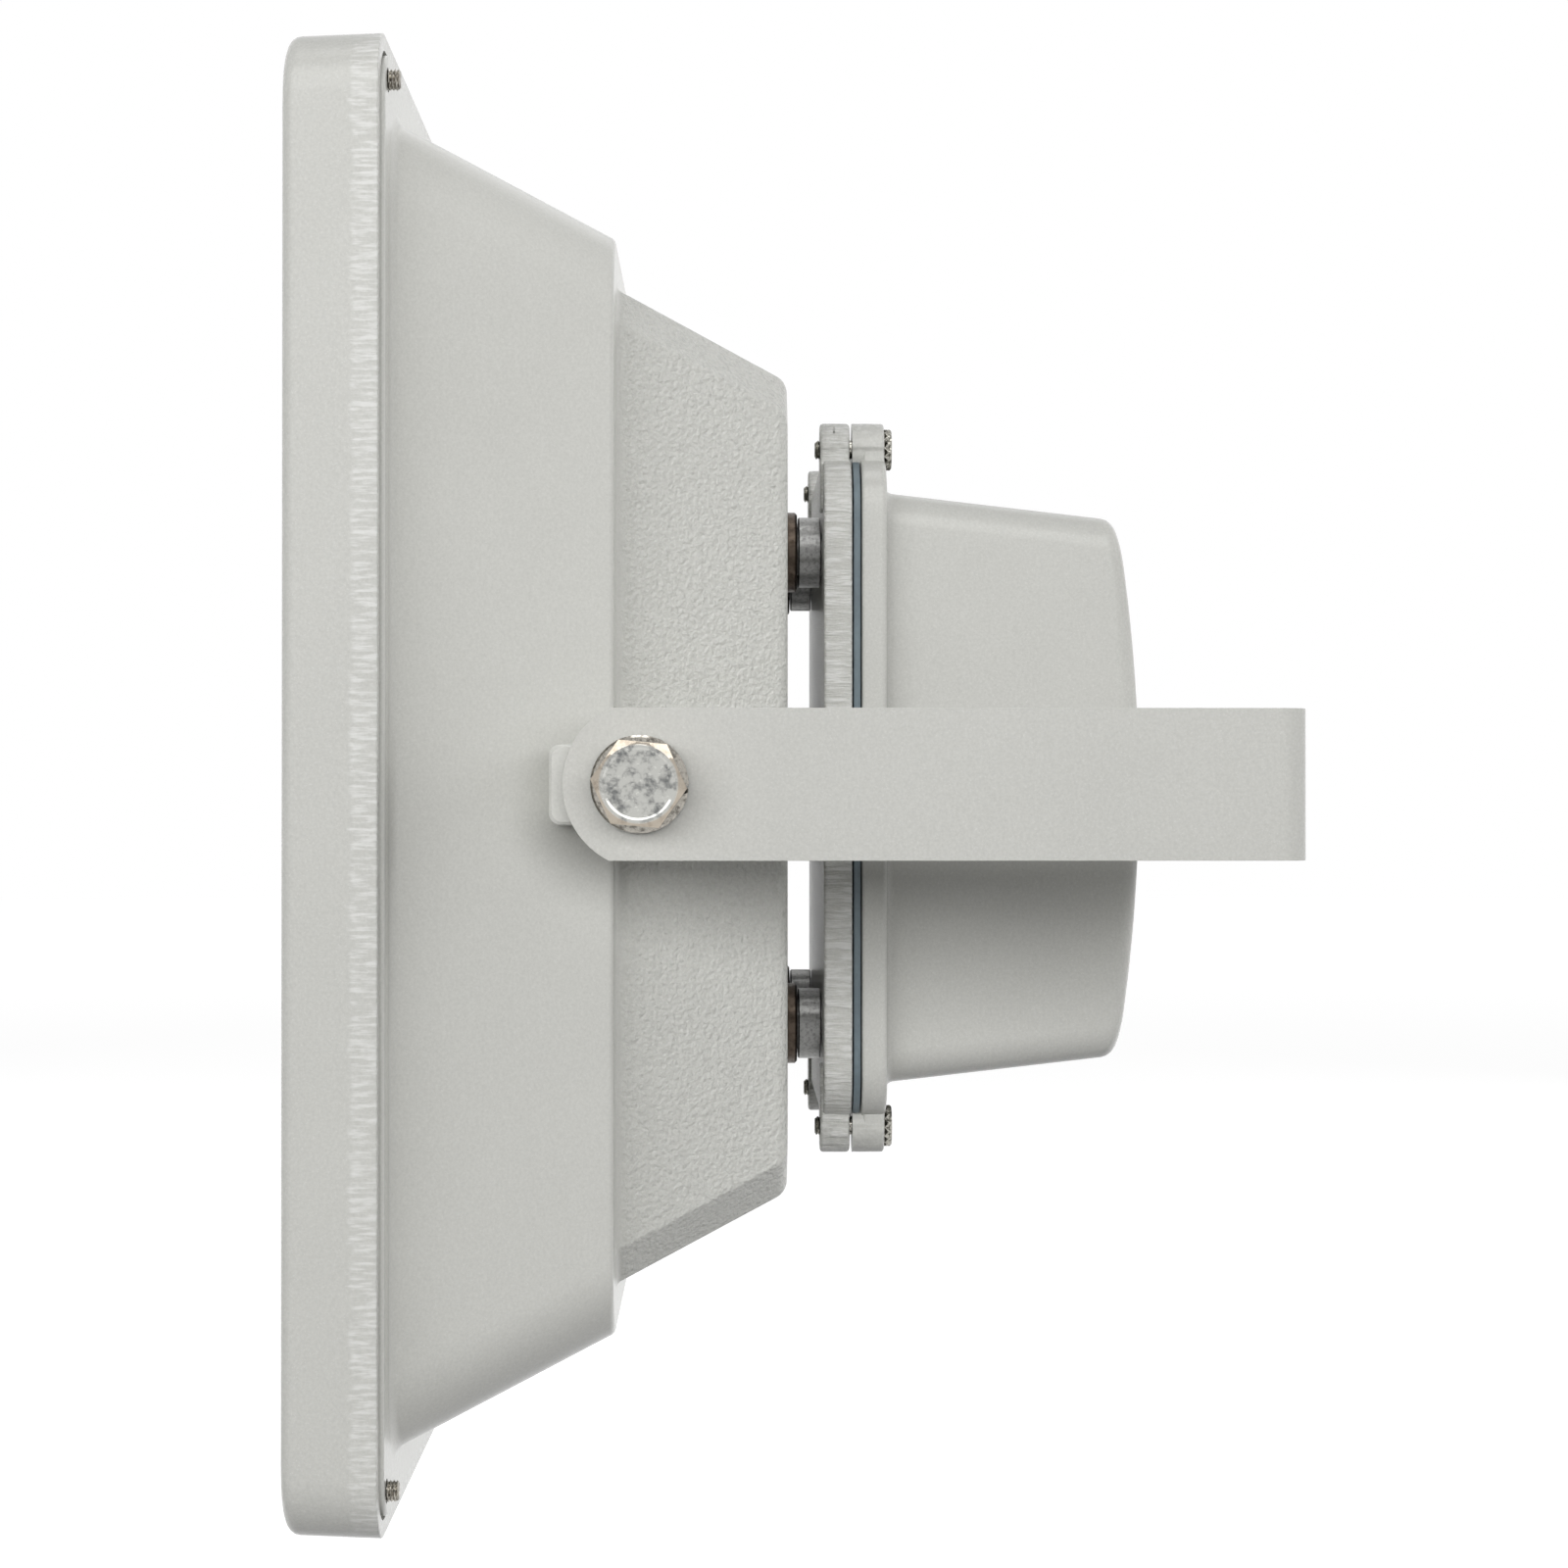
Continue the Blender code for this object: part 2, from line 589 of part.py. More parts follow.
def prism(name, flats, start, end, turn=0, sides=6):
    """A regular prism about Z with a corner at +X before it is turned."""
    bm = bmesh.new()
    radius = flats / 2 / math.cos(math.pi / sides)
    made = bmesh.ops.create_cone(
        bm,
        cap_ends=True,
        segments=sides,
        radius1=radius,
        radius2=radius,
        depth=end - start,
    )
    spin = Matrix.Rotation(turn - math.pi / 2, 3, "Z")
    bmesh.ops.rotate(bm, verts=made["verts"], cent=(0, 0, 0), matrix=spin)
    bmesh.ops.translate(bm, verts=made["verts"], vec=(0, 0, (start + end) / 2))
    return mesh_from(bm, name)


def boxes(name, spans):
    """Separate boxes, each from its low to its high corner."""
    bm = bmesh.new()
    for low, high in spans:
        size = Vector(high) - Vector(low)
        middle = (Vector(high) + Vector(low)) / 2
        made = bmesh.ops.create_cube(bm, size=1)
        bmesh.ops.scale(bm, verts=made["verts"], vec=size)
        bmesh.ops.translate(bm, verts=made["verts"], vec=middle)
    return mesh_from(bm, name)


def scattered(name, mesh, places):
    """A mesh that holds a copy of another at each place."""
    bm = bmesh.new()
    for place in places:
        bm.from_mesh(mesh)
        new = bm.verts[-len(mesh.vertices):]
        bmesh.ops.translate(bm, verts=new, vec=place)
    return mesh_from(bm, name)


def turned(name, profile, steps=ROUND_STEPS, ring=False):
    """A solid turned about Z from (radius, height) points down its outer side."""
    count = len(profile)
    edges = [(index, index + 1) for index in range(count - 1)]
    if ring:
        edges.append((count - 1, 0))
    line = bpy.data.meshes.new(name)
    line.from_pydata([(radius, 0, height) for radius, height in profile], edges, [])
    lathe = cutter(f"{name}_profile", line)
    screw = lathe.modifiers.new("turn", "SCREW")
    screw.axis = "Z"
    screw.angle = math.tau
    screw.steps = steps
    screw.render_steps = steps
    screw.use_merge_vertices = True
    screw.merge_threshold = WELD_DISTANCE
    mesh = evaluated_mesh(lathe)
    bpy.data.objects.remove(lathe, do_unlink=True)
    return mesh


def plate(name, outlines, start, end, axis="X"):
    """A flat plate from outlines across an axis, the first of them its rim."""
    curve = bpy.data.curves.new(name, "CURVE")
    curve.dimensions = "2D"
    curve.fill_mode = "BOTH"
    curve.extrude = (end - start) / 2
    for outline in outlines:
        spline = curve.splines.new("POLY")
        spline.points.add(len(outline) - 1)
        for point, (across, up) in zip(spline.points, outline):
            point.co = (across, up, 0, 1)
        spline.use_cyclic_u = True
    outline_object = cutter(f"{name}_outline", curve)
    flat = evaluated_mesh(outline_object)
    bpy.data.objects.remove(outline_object, do_unlink=True)
    bm = bmesh.new()
    bm.from_mesh(flat)
    bmesh.ops.remove_doubles(bm, verts=bm.verts, dist=WELD_DISTANCE)
    lay(bm.verts, axis, middle=(start + end) / 2)
    return mesh_from(bm, name)


def arc(centre, radius, start, end, steps):
    """Points on an arc, from one angle to another."""
    points = []
    for step in range(steps + 1):
        angle = start + (end - start) * step / steps
        across = centre[0] + radius * math.cos(angle)
        points.append((across, centre[1] + radius * math.sin(angle)))
    return points


def rounded(half_across, half_up, radius):
    """A rectangle's outline with round corners."""
    return [(y, z) for _, y, z in section(0, half_across, half_up, round_corner(radius))]


def slot(centre, length, width):
    """A round-ended slot's outline, long across."""
    run = (length - width) / 2
    right = arc((centre[0] + run, centre[1]), width / 2, -math.pi / 2, math.pi / 2, SMALL_STEPS // 2)
    left = arc((centre[0] - run, centre[1]), width / 2, math.pi / 2, 3 * math.pi / 2, SMALL_STEPS // 2)
    return right + left


def tongue(centre, radius, length, way):
    """An ear's outline: a half circle on a straight neck that points up or down."""
    top = arc(centre, radius, 0, math.pi * way, ROUND_STEPS // 2)
    foot = centre[1] - length * way
    return top + [(centre[0] - radius, foot), (centre[0] + radius, foot)]


def round_corner(radius):
    """Insets (across, up) from a sharp corner of points on a quarter circle."""
    points = []
    for step in range(CORNER_POINTS):
        angle = math.pi / 2 * step / (CORNER_POINTS - 1)
        points.append((radius * (1 - math.cos(angle)), radius * (1 - math.sin(angle))))
    return points


def cut_corner(leg, edge_radius):
    """Insets of a corner cut off at 45 degrees, with both its edges rounded."""
    run = edge_radius * math.tan(math.pi / 8)
    half = CORNER_POINTS // 2
    first = []
    for step in range(half):
        angle = math.pi / 4 * step / (half - 1)
        across = edge_radius * (1 - math.cos(angle))
        first.append((across, leg + run - edge_radius * math.sin(angle)))
    return first + [(up, across) for across, up in reversed(first)]


def blend(first, second, share):
    """Corner insets part of the way from one list to another."""
    return [
        (a + (c - a) * share, b + (d - b) * share)
        for (a, b), (c, d) in zip(first, second)
    ]


def filleted(profile, ring=False):
    """A wall profile with its corners rounded.

    The profile lists (station, offset, corner, fillet), and the ends of one
    that isn't a ring stay sharp. Returns (station, offset, corner) rows, in
    which an arc's corner insets lead from one vertex's to the next one's.
    """
    count = len(profile)
    rows = []
    for index, (station, offset, corner, fillet) in enumerate(profile):
        inner = ring or 0 < index < count - 1
        if not inner or not fillet:
            rows.append((station, offset, corner))
            continue
        here = Vector((station, offset))
        before = profile[index - 1]
        after = profile[(index + 1) % count]
        back = Vector(before[:2]) - here
        ahead = Vector(after[:2]) - here
        opening = back.angle(ahead)
        run = fillet / math.tan(opening / 2)
        middle = (back.normalized() + ahead.normalized()).normalized()
        centre = here + middle * fillet / math.sin(opening / 2)
        first = here + back.normalized() * run - centre
        last = here + ahead.normalized() * run - centre
        sweep = -first.angle_signed(last)
        corner_in = blend(corner, before[2], run / back.length)
        corner_out = blend(corner, after[2], run / ahead.length)
        steps = FILLET_STEPS if fillet > FINE_FILLET else 1
        for step in range(steps + 1):
            share = step / steps
            spoke = Matrix.Rotation(sweep * share, 2) @ first
            point = centre + spoke
            rows.append((point.x, point.y, blend(corner_in, corner_out, share)))
    return rows


def section(station, half_y, half_z, corner, side_steps=1):
    """A loop of points across the lamp, with further points down its two sides."""
    quarter = [(half_y - across, half_z - up) for across, up in corner]
    back = quarter[::-1]
    top = quarter[0][1]
    levels = [top - 2 * top * step / side_steps for step in range(1, side_steps)]
    loop = list(quarter)
    loop += [(-y, z) for y, z in back]
    loop += [(-half_y, z) for z in levels]
    loop += [(-y, -z) for y, z in quarter]
    loop += [(y, -z) for y, z in back]
    loop += [(half_y, -z) for z in levels]
    return [Vector((station, y, z)) for y, z in loop]


def sections(rows, half_y=0, half_z=0, side_steps=1):
    """Loops of (station, offset, corner) rows, offset from the half sides."""
    return [
        section(station, half_y + offset, half_z + offset, corner, side_steps)
        for station, offset, corner in rows
    ]


def cap(bm, loop):
    """Closes a loop with strips from side to side."""
    count = len(loop)
    right = CORNER_POINTS - 1
    left = CORNER_POINTS
    for step in range(count // 2 - 1):
        bm.faces.new((
            loop[(right - step) % count],
            loop[(left + step) % count],
            loop[(left + step + 1) % count],
            loop[(right - step - 1) % count],
        ))


def loft(name, loops, ring=False):
    """A solid through loops of equal count, capped or joined end to end."""
    bm = bmesh.new()
    made = [[bm.verts.new(point) for point in loop] for loop in loops]
    pairs = list(zip(made, made[1:]))
    if ring:
        pairs.append((made[-1], made[0]))
    else:
        cap(bm, made[0])
        cap(bm, made[-1])
    for near, far in pairs:
        for index in range(len(near)):
            after = (index + 1) % len(near)
            bm.faces.new((near[index], near[after], far[after], far[index]))
    return mesh_from(bm, name)


def screw_profile(head_diameter, head, diameter, length):
    """A cylinder head screw's profile, with the head's seat at zero."""
    head_radius = head_diameter / 2
    radius = diameter / 2
    return [
        (0, head),
        (head_radius - HEAD_CHAMFER, head),
        (head_radius, head - HEAD_CHAMFER),
        (head_radius, 0),
        (radius, 0),
        (radius, THREAD_CHAMFER - length),
        (radius - THREAD_CHAMFER, -length),
        (0, -length),
    ]


def tube_profile(outer, inner, start, end, chamfer):
    """A ring's profile with its outer edges chamfered."""
    return [
        (inner / 2, end),
        (outer / 2 - chamfer, end),
        (outer / 2, end - chamfer),
        (outer / 2, start + chamfer),
        (outer / 2 - chamfer, start),
        (inner / 2, start),
    ]


def polygon(radius, sides, turn=0):
    """A regular outline with a corner across to the right before it is turned."""
    return arc((0, 0), radius, turn, turn + math.tau, sides)[:-1]


def hex_nut(name, flats, hole, start, end):
    """A hexagon plate about Z with a round hole."""
    radius = hole / 2 / math.cos(math.pi / ROUND_STEPS)
    outlines = [polygon(flats / math.sqrt(3), 6), polygon(radius, ROUND_STEPS)]
    return plate(name, outlines, start, end, "Z")


def hex_cap(name, flats, start, end, setback, turn=0):
    """A hexagon head about Z, its top corners turned down to a round face."""
    reach = flats / math.sqrt(3) + setback
    face = flats / 2 - setback
    shoulder = end - (reach - face) * math.tan(HEX_CHAMFER)
    profile = [(0, end), (face, end), (reach, shoulder), (reach, start), (0, start)]
    blank = cutter(f"{name}_blank", turned(f"{name}_blank", profile))
    flat_sides = cutter(f"{name}_flats", prism(name, flats, start - OVERRUN, end + OVERRUN, turn))
    carve(blank, flat_sides, "INTERSECT")
    return evaluated_mesh(blank)


def make_yoke():
    """The bent strip that carries the lamp and is bolted to a wall or a pole."""
    outer = STRIP_BEND_RADIUS + STRIP_THICKNESS
    bend = ARM_OUTER - outer
    front = -YOKE_REACH - ARM_END_RADIUS - OVERRUN
    outline = [(front, ARM_OUTER)]
    outline += arc((-outer, bend), outer, math.pi / 2, 0, BEND_STEPS)
    outline += arc((-outer, -bend), outer, 0, -math.pi / 2, BEND_STEPS)
    outline += [(front, -ARM_OUTER), (front, -ARM_INNER)]
    outline += arc((-outer, -bend), STRIP_BEND_RADIUS, -math.pi / 2, 0, BEND_STEPS)
    outline += arc((-outer, bend), STRIP_BEND_RADIUS, 0, math.pi / 2, BEND_STEPS)
    outline += [(front, ARM_INNER)]
    half = STRIP_WIDTH / 2
    strip = plate("yoke_bracket", [outline], -half, half, "Z")
    yoke = piece("yoke_bracket", strip, POWDER_COAT, carrier=None)
    reach = ARM_OUTER + OVERRUN
    kink = math.asin(half / ARM_END_RADIUS)
    centre = (ARM_END_BEHIND_AXIS - YOKE_REACH, 0)
    arm_end = arc(centre, ARM_END_RADIUS, math.pi - kink, math.pi + kink, ROUND_STEPS)
    arm_end += [(OVERRUN, -half), (OVERRUN, half)]
    blank = plate("arm_blank", [arm_end], -reach, reach, "Y")
    carve(yoke, cutter("arm_blank", blank, carrier=None), "INTERSECT")
    bores = cylinders(
        "pivot_bores",
        [(-YOKE_REACH, 0)],
        PIVOT_BOLT_DIAMETER + 2 * ARM_HOLE_CLEARANCE,
        -reach,
        reach,
        "Y",
    )
    carve(yoke, cutter("pivot_bores", bores, carrier=None))
    start = -STRIP_THICKNESS - OVERRUN
    places = [(YOKE_HOLE_SPACING / 2 * side, 0) for side in (-1, 1)]
    holes = cylinders("mounting_holes", places, YOKE_HOLE_DIAMETER, start, OVERRUN)
    carve(yoke, cutter("mounting_holes", holes, carrier=None))
    for side in (-1, 1):
        outline = slot((YOKE_SLOT_SPACING / 2 * side, 0), YOKE_SLOT_LENGTH, YOKE_SLOT_WIDTH)
        name = "near_slot" if side < 0 else "far_slot"
        carve(yoke, cutter(name, plate(name, [outline], start, OVERRUN), carrier=None))
    soften(yoke, STRIP_EDGE_RADIUS)
    settle(yoke)


def housing_body():
    """The outer form of flange, bowl, step and chamber."""
    rear_half = chamber_half(HOUSING_REAR)
    flange = round_corner(FLANGE_RADIUS)
    bowl = round_corner(BOWL_CORNER_RADIUS)
    chamber = cut_corner(CHAMBER_CUT, CHAMBER_CUT_RADIUS)
    profile = [
        (FLANGE_FRONT, FLANGE_HALF, flange, 0),
        (FLANGE_REAR, FLANGE_HALF, flange, FLANGE_EDGE_RADIUS),
        (FLANGE_REAR, BOWL_FRONT_HALF, bowl, BOWL_ROOT_RADIUS),
        (STEP_STATION, bowl_half(STEP_STATION), bowl, BOWL_EDGE_RADIUS),
        (STEP_STATION, chamber_half(STEP_STATION), chamber, CHAMBER_ROOT_RADIUS),
        (HOUSING_REAR, rear_half, chamber, CHAMBER_EDGE_RADIUS),
        (HOUSING_REAR, rear_half - 2 * CHAMBER_EDGE_RADIUS, chamber, 0),
    ]
    return loft("rear_housing", sections(filleted(profile)))


def housing_cavity():
    """The hollow of bowl and chamber, open to the front."""
    bowl = round_corner(BOWL_CORNER_RADIUS - BOWL_WALL_ACROSS)
    leg = CHAMBER_CUT - CHAMBER_WALL_ACROSS * (2 - math.sqrt(2))
    chamber = cut_corner(leg, CHAMBER_CUT_RADIUS)
    floor = HOUSING_REAR - HOUSING_WALL
    rows = [
        (FLANGE_FRONT - OVERRUN, MOUTH_HALF, bowl),
        (FLANGE_REAR, MOUTH_HALF, bowl),
        (LEDGE, bowl_half(LEDGE) - BOWL_WALL_ACROSS, bowl),
        (LEDGE, chamber_half(LEDGE) - CHAMBER_WALL_ACROSS, chamber),
        (floor, chamber_half(floor) - CHAMBER_WALL_ACROSS, chamber),
    ]
    return loft("housing_cavity", sections(rows))


def pivot_boss():
    """A drafted block with round corners, from inside the wall out to its face."""
    root = chamber_half(PIVOT_BOSS_LENGTH / 2) - PIVOT_BOSS_ROOT
    corner = round_corner(PIVOT_BOSS_CORNER)
    half_y = PIVOT_BOSS_LENGTH / 2
    half_z = PIVOT_BOSS_HEIGHT / 2
    rows = [(root, PIVOT_BOSS_DRAFT, corner), (BOSS_FACE, 0, corner)]
    return loft("pivot_boss", sections(rows, half_y, half_z))


def make_housing():
    """The stepped casting, with its pivot bosses and board posts."""
    housing = piece("rear_housing", housing_body(), POWDER_COAT)
    boss = pivot_boss()
    for name, turn in (("near", -math.pi / 2), ("far", math.pi / 2)):
        carve(housing, cutter(f"{name}_pivot_boss", boss, turn=(0, 0, turn)), "UNION")
    cavity = cutter("housing_cavity", housing_cavity())
    corners = [(BOARD_SCREW_PLACE * y, BOARD_SCREW_PLACE * z) for y, z in CORNERS]
    screw_hole = BOARD_SCREW_DIAMETER + 2 * HOLE_CLEARANCE
    post = screw_hole + 2 * BOARD_POST_WALL
    posts = cylinders("board_posts", corners, post, LEDGE, HOUSING_REAR, steps=SMALL_STEPS)
    carve(cavity, cutter("board_posts", posts))
    carve(housing, cavity)
    ends = (LEDGE - OVERRUN, LEDGE + BOARD_SCREW_GRIP + BOARD_HOLE_SPARE)
    holes = cylinders("board_screw_holes", corners, screw_hole, *ends, steps=SMALL_STEPS)
    carve(housing, cutter("board_screw_holes", holes))
    places = [(FRAME_SCREW_PLACE * y, FRAME_SCREW_PLACE * z) for y, z in CORNERS]
    diameter = FRAME_SCREW_DIAMETER + 2 * HOLE_CLEARANCE
    start = FLANGE_FRONT - OVERRUN
    holes = cylinders("flange_holes", places, diameter, start, FLANGE_REAR + OVERRUN, steps=SMALL_STEPS)
    carve(housing, cutter("flange_holes", holes))
    places = [(STANDOFF_Y * y, STANDOFF_Z * z) for y, z in CORNERS]
    start = HOUSING_REAR - HOUSING_WALL - OVERRUN
    holes = cylinders("housing_standoff_holes", places, STANDOFF_HOLE, start, HOUSING_REAR + OVERRUN)
    carve(housing, cutter("housing_standoff_holes", holes))
    depth = PIVOT_BOLT_SEAT - PIVOT_BOLT_LENGTH - PIVOT_HOLE_SPARE
    for name, side in (("near", -1), ("far", 1)):
        ends = sorted((depth * side, (BOSS_FACE + OVERRUN) * side))
        hole = cylinders(f"{name}_pivot_hole", [(0, 0)], PIVOT_HOLE, *ends, axis="Y")
        carve(housing, cutter(f"{name}_pivot_hole", hole))
    settle(housing)


def make_front_frame():
    """The door: a face with a window, a recess for the glass and a skirt."""
    outer = round_corner(FRAME_CORNER_RADIUS)
    inner = round_corner(SKIRT_INNER_RADIUS)
    window = round_corner(WINDOW_CORNER_RADIUS)
    recess = round_corner(GLASS_CORNER_RADIUS)
    profile = [
        (FRAME_RIM, FRAME_HALF, outer, FRAME_RIM_RADIUS),
        (FRAME_FRONT, FRAME_HALF - FRAME_DRAFT, outer, FRAME_EDGE_RADIUS),
        (FRAME_FRONT, WINDOW_HALF, window, WINDOW_EDGE_RADIUS),
        (FRAME_FACE_REAR, WINDOW_HALF, window, 0),
        (FRAME_FACE_REAR, RECESS_HALF, recess, 0),
        (FRAME_SEAT, RECESS_HALF, recess, 0),
        (FRAME_SEAT, SKIRT_INNER_HALF, inner, 0),
        (FRAME_RIM, SKIRT_INNER_HALF, inner, 0),
    ]
    mesh = loft("front_frame", sections(filleted(profile, ring=True)), ring=True)
    frame = piece("front_frame", mesh, POWDER_COAT)
    places = [(FRAME_SCREW_PLACE * y, FRAME_SCREW_PLACE * z) for y, z in CORNERS]
    sink = FRAME_FRONT + FRAME_SCREW_SINK + FRAME_SCREW_HEAD + SEAT_GAP
    diameter = FRAME_SCREW_HEAD_DIAMETER + 2 * HEAD_CLEARANCE
    counterbores = cylinders("frame_counterbores", places, diameter, FRAME_FRONT - OVERRUN, sink)
    carve(frame, cutter("frame_counterbores", counterbores))
    diameter = FRAME_SCREW_DIAMETER + 2 * HOLE_CLEARANCE
    end = FRAME_SEAT + OVERRUN
    holes = cylinders("frame_holes", places, diameter, FRAME_FRONT - OVERRUN, end, steps=SMALL_STEPS)
    carve(frame, cutter("frame_holes", holes))
    settle(frame)


def make_glass():
    """The toughened glass and the gasket that wraps its edge."""
    outline = rounded(GLASS_HALF, GLASS_HALF, GLASS_CORNER_RADIUS - GLASS_GASKET_THICKNESS)
    glass = piece("front_glass", plate("front_glass", [outline], GLASS_FRONT, GLASS_REAR), CLEAR_GLASS)
    settle(glass)
    outer = round_corner(GLASS_CORNER_RADIUS - SEAT_GAP)
    inner = round_corner(GLASS_CORNER_RADIUS - GLASS_GASKET_THICKNESS + SEAT_GAP)
    window = round_corner(WINDOW_CORNER_RADIUS)
    groove = GLASS_HALF + SEAT_GAP
    lip = WINDOW_HALF + GLASS_GASKET_SETBACK
    backing = GLASS_HALF - GLASS_BACKING_LAP
    rows = [
        (GLASS_GASKET_FRONT, lip, window),
        (GLASS_GASKET_FRONT, GLASS_GASKET_HALF, outer),
        (GLASS_GASKET_REAR, GLASS_GASKET_HALF, outer),
        (GLASS_GASKET_REAR, backing, window),
        (GLASS_REAR + SEAT_GAP, backing, window),
        (GLASS_REAR + SEAT_GAP, groove, inner),
        (GLASS_FRONT - SEAT_GAP, groove, inner),
        (GLASS_FRONT - SEAT_GAP, lip, window),
    ]
    mesh = loft("glass_gasket", sections(rows), ring=True)
    settle(piece("glass_gasket", mesh, WHITE_SILICONE))


def make_housing_gasket():
    """The flat gasket between the frame and the housing's flange."""
    radius = HOUSING_GASKET_CORNER_RADIUS
    outlines = [
        rounded(GASKET_OUTER_HALF, GASKET_OUTER_HALF, radius),
        rounded(GASKET_INNER_HALF, GASKET_INNER_HALF, radius - HOUSING_GASKET_WIDTH),
    ]
    start = FRAME_SEAT + SEAT_GAP
    mesh = plate("housing_gasket", outlines, start, start + HOUSING_GASKET_THICKNESS)
    settle(piece("housing_gasket", mesh, WHITE_SILICONE))


def make_frame_screws():
    """Four screws through the frame's corners into the housing's flange."""
    seat = FRAME_FRONT + FRAME_SCREW_SINK + FRAME_SCREW_HEAD
    length = FLANGE_REAR + FRAME_SCREW_END - seat
    profile = screw_profile(FRAME_SCREW_HEAD_DIAMETER, FRAME_SCREW_HEAD, FRAME_SCREW_DIAMETER, length)
    mesh = turned("frame_screw", profile, SMALL_STEPS)
    floor = FRAME_SCREW_HEAD - FRAME_SCREW_SOCKET_DEPTH
    socket = prism("socket", FRAME_SCREW_SOCKET, floor, FRAME_SCREW_HEAD + OVERRUN)
    place = FRAME_SCREW_PLACE
    four("frame_screw", mesh, BRIGHT_STEEL, seat, place, place, ALONG["front"], [socket])


def make_reflector():
    """The bright sheet funnel from the board out to the housing's mouth."""
    mouth = MOUTH_HALF - REFLECTOR_MOUTH_INSET
    slope = (mouth - THROAT_HALF) / (PANEL_REAR - REFLECTOR_LIP_FRONT)
    across = REFLECTOR_THICKNESS * math.hypot(1, slope)
    lip_rear = REFLECTOR_LIP_FRONT + REFLECTOR_THICKNESS
    corner = round_corner(REFLECTOR_CORNER_RADIUS)
    rows = [
        (PANEL_REAR, THROAT_HALF, corner),
        (REFLECTOR_LIP_FRONT, mouth, corner),
        (REFLECTOR_LIP_FRONT, REFLECTOR_LIP_HALF, corner),
        (lip_rear, REFLECTOR_LIP_HALF, corner),
        (lip_rear, mouth + across - REFLECTOR_THICKNESS * slope, corner),
        (PANEL_REAR, THROAT_HALF + across, corner),
    ]
    mesh = loft("reflector", sections(rows), ring=True)
    settle(piece("reflector", mesh, BRIGHT_ALUMINIUM))


def led_places():
    """The chips' places across the lamp."""
    levels = [(index - (LED_COUNT - 1) / 2) * LED_PITCH for index in range(LED_COUNT)]
    return [(y, z) for y in levels for z in levels]


def make_lens_panel():
    """A clear tray of domed lenses, one over each chip."""
    outline = rounded(PANEL_HALF, PANEL_HALF, PANEL_CORNER_RADIUS)
    panel = piece("lens_panel", plate("lens_panel", [outline], PANEL_FACE, PANEL_REAR), LENS_PLASTIC)
    inner = PANEL_HALF - PANEL_RIM_WIDTH
    outline = rounded(inner, inner, PANEL_CORNER_RADIUS - PANEL_RIM_WIDTH)
    hollow = plate("panel_hollow", [outline], PANEL_INSIDE, PANEL_REAR + OVERRUN)
    carve(panel, cutter("panel_hollow", hollow))
    radius = LED_PITCH * LENS_FILL_SHARE
    profile = []
    for ring in range(LENS_RINGS + 1):
        angle = math.pi / 2 * ring / LENS_RINGS
        profile.append((radius * math.sin(angle), LENS_HEIGHT * math.cos(angle)))
    profile += [(radius, -LENS_ROOT), (0, -LENS_ROOT)]
    dome = turned("lens", profile, LENS_STEPS)
    domes = scattered("lenses", dome, [(-z, y, 0) for y, z in led_places()])
    at = (PANEL_FACE + LENS_SINK, 0, 0)
    carve(panel, cutter("lenses", domes, at, ALONG["front"]), "UNION")
    settle(panel)


def make_led_board():
    """The light board with its chips, screwed down over the heat spreader."""
    outline = rounded(BOARD_HALF, BOARD_HALF, BOARD_CORNER_RADIUS)
    board = piece("led_board", plate("led_board", [outline], BOARD_FRONT, BOARD_REAR), BOARD_MASK)
    half = CHIP_SIDE / 2
    rear = BOARD_FRONT + CHIP_SINK
    spans = [
        ((BOARD_FRONT - CHIP_HEIGHT, y - half, z - half), (rear, y + half, z + half))
        for y, z in led_places()
    ]
    carve(board, cutter("chips", boxes("chips", spans)), "UNION")
    places = [(BOARD_SCREW_PLACE * y, BOARD_SCREW_PLACE * z) for y, z in CORNERS]
    diameter = BOARD_SCREW_DIAMETER + 2 * HOLE_CLEARANCE
    start = BOARD_FRONT - OVERRUN
    holes = cylinders("board_holes", places, diameter, start, BOARD_REAR + OVERRUN, steps=SMALL_STEPS)
    carve(board, cutter("board_holes", holes))
    settle(board)


def make_heat_spreader():
    """The plate that carries the board on the housing's inner ledge."""
    outline = rounded(SPREADER_HALF, SPREADER_HALF, SPREADER_CORNER_RADIUS)
    mesh = plate("heat_spreader", [outline], SPREADER_FRONT, SPREADER_REAR)
    spreader = piece("heat_spreader", mesh, PLAIN_ALUMINIUM)
    places = [(BOARD_SCREW_PLACE * y, BOARD_SCREW_PLACE * z) for y, z in CORNERS]
    diameter = BOARD_SCREW_DIAMETER + 2 * HOLE_CLEARANCE
    ends = (SPREADER_FRONT - OVERRUN, SPREADER_REAR + OVERRUN)
    holes = cylinders("spreader_holes", places, diameter, *ends, steps=SMALL_STEPS)
    carve(spreader, cutter("spreader_holes", holes))
    diameter = LEAD_DIAMETER + 2 * SPREADER_LEAD_CLEARANCE
    hole = cylinders("lead_hole", [(STANDOFF_Y, STANDOFF_Z)], diameter, *ends, steps=SMALL_STEPS)
    carve(spreader, cutter("lead_hole", hole))
    settle(spreader)


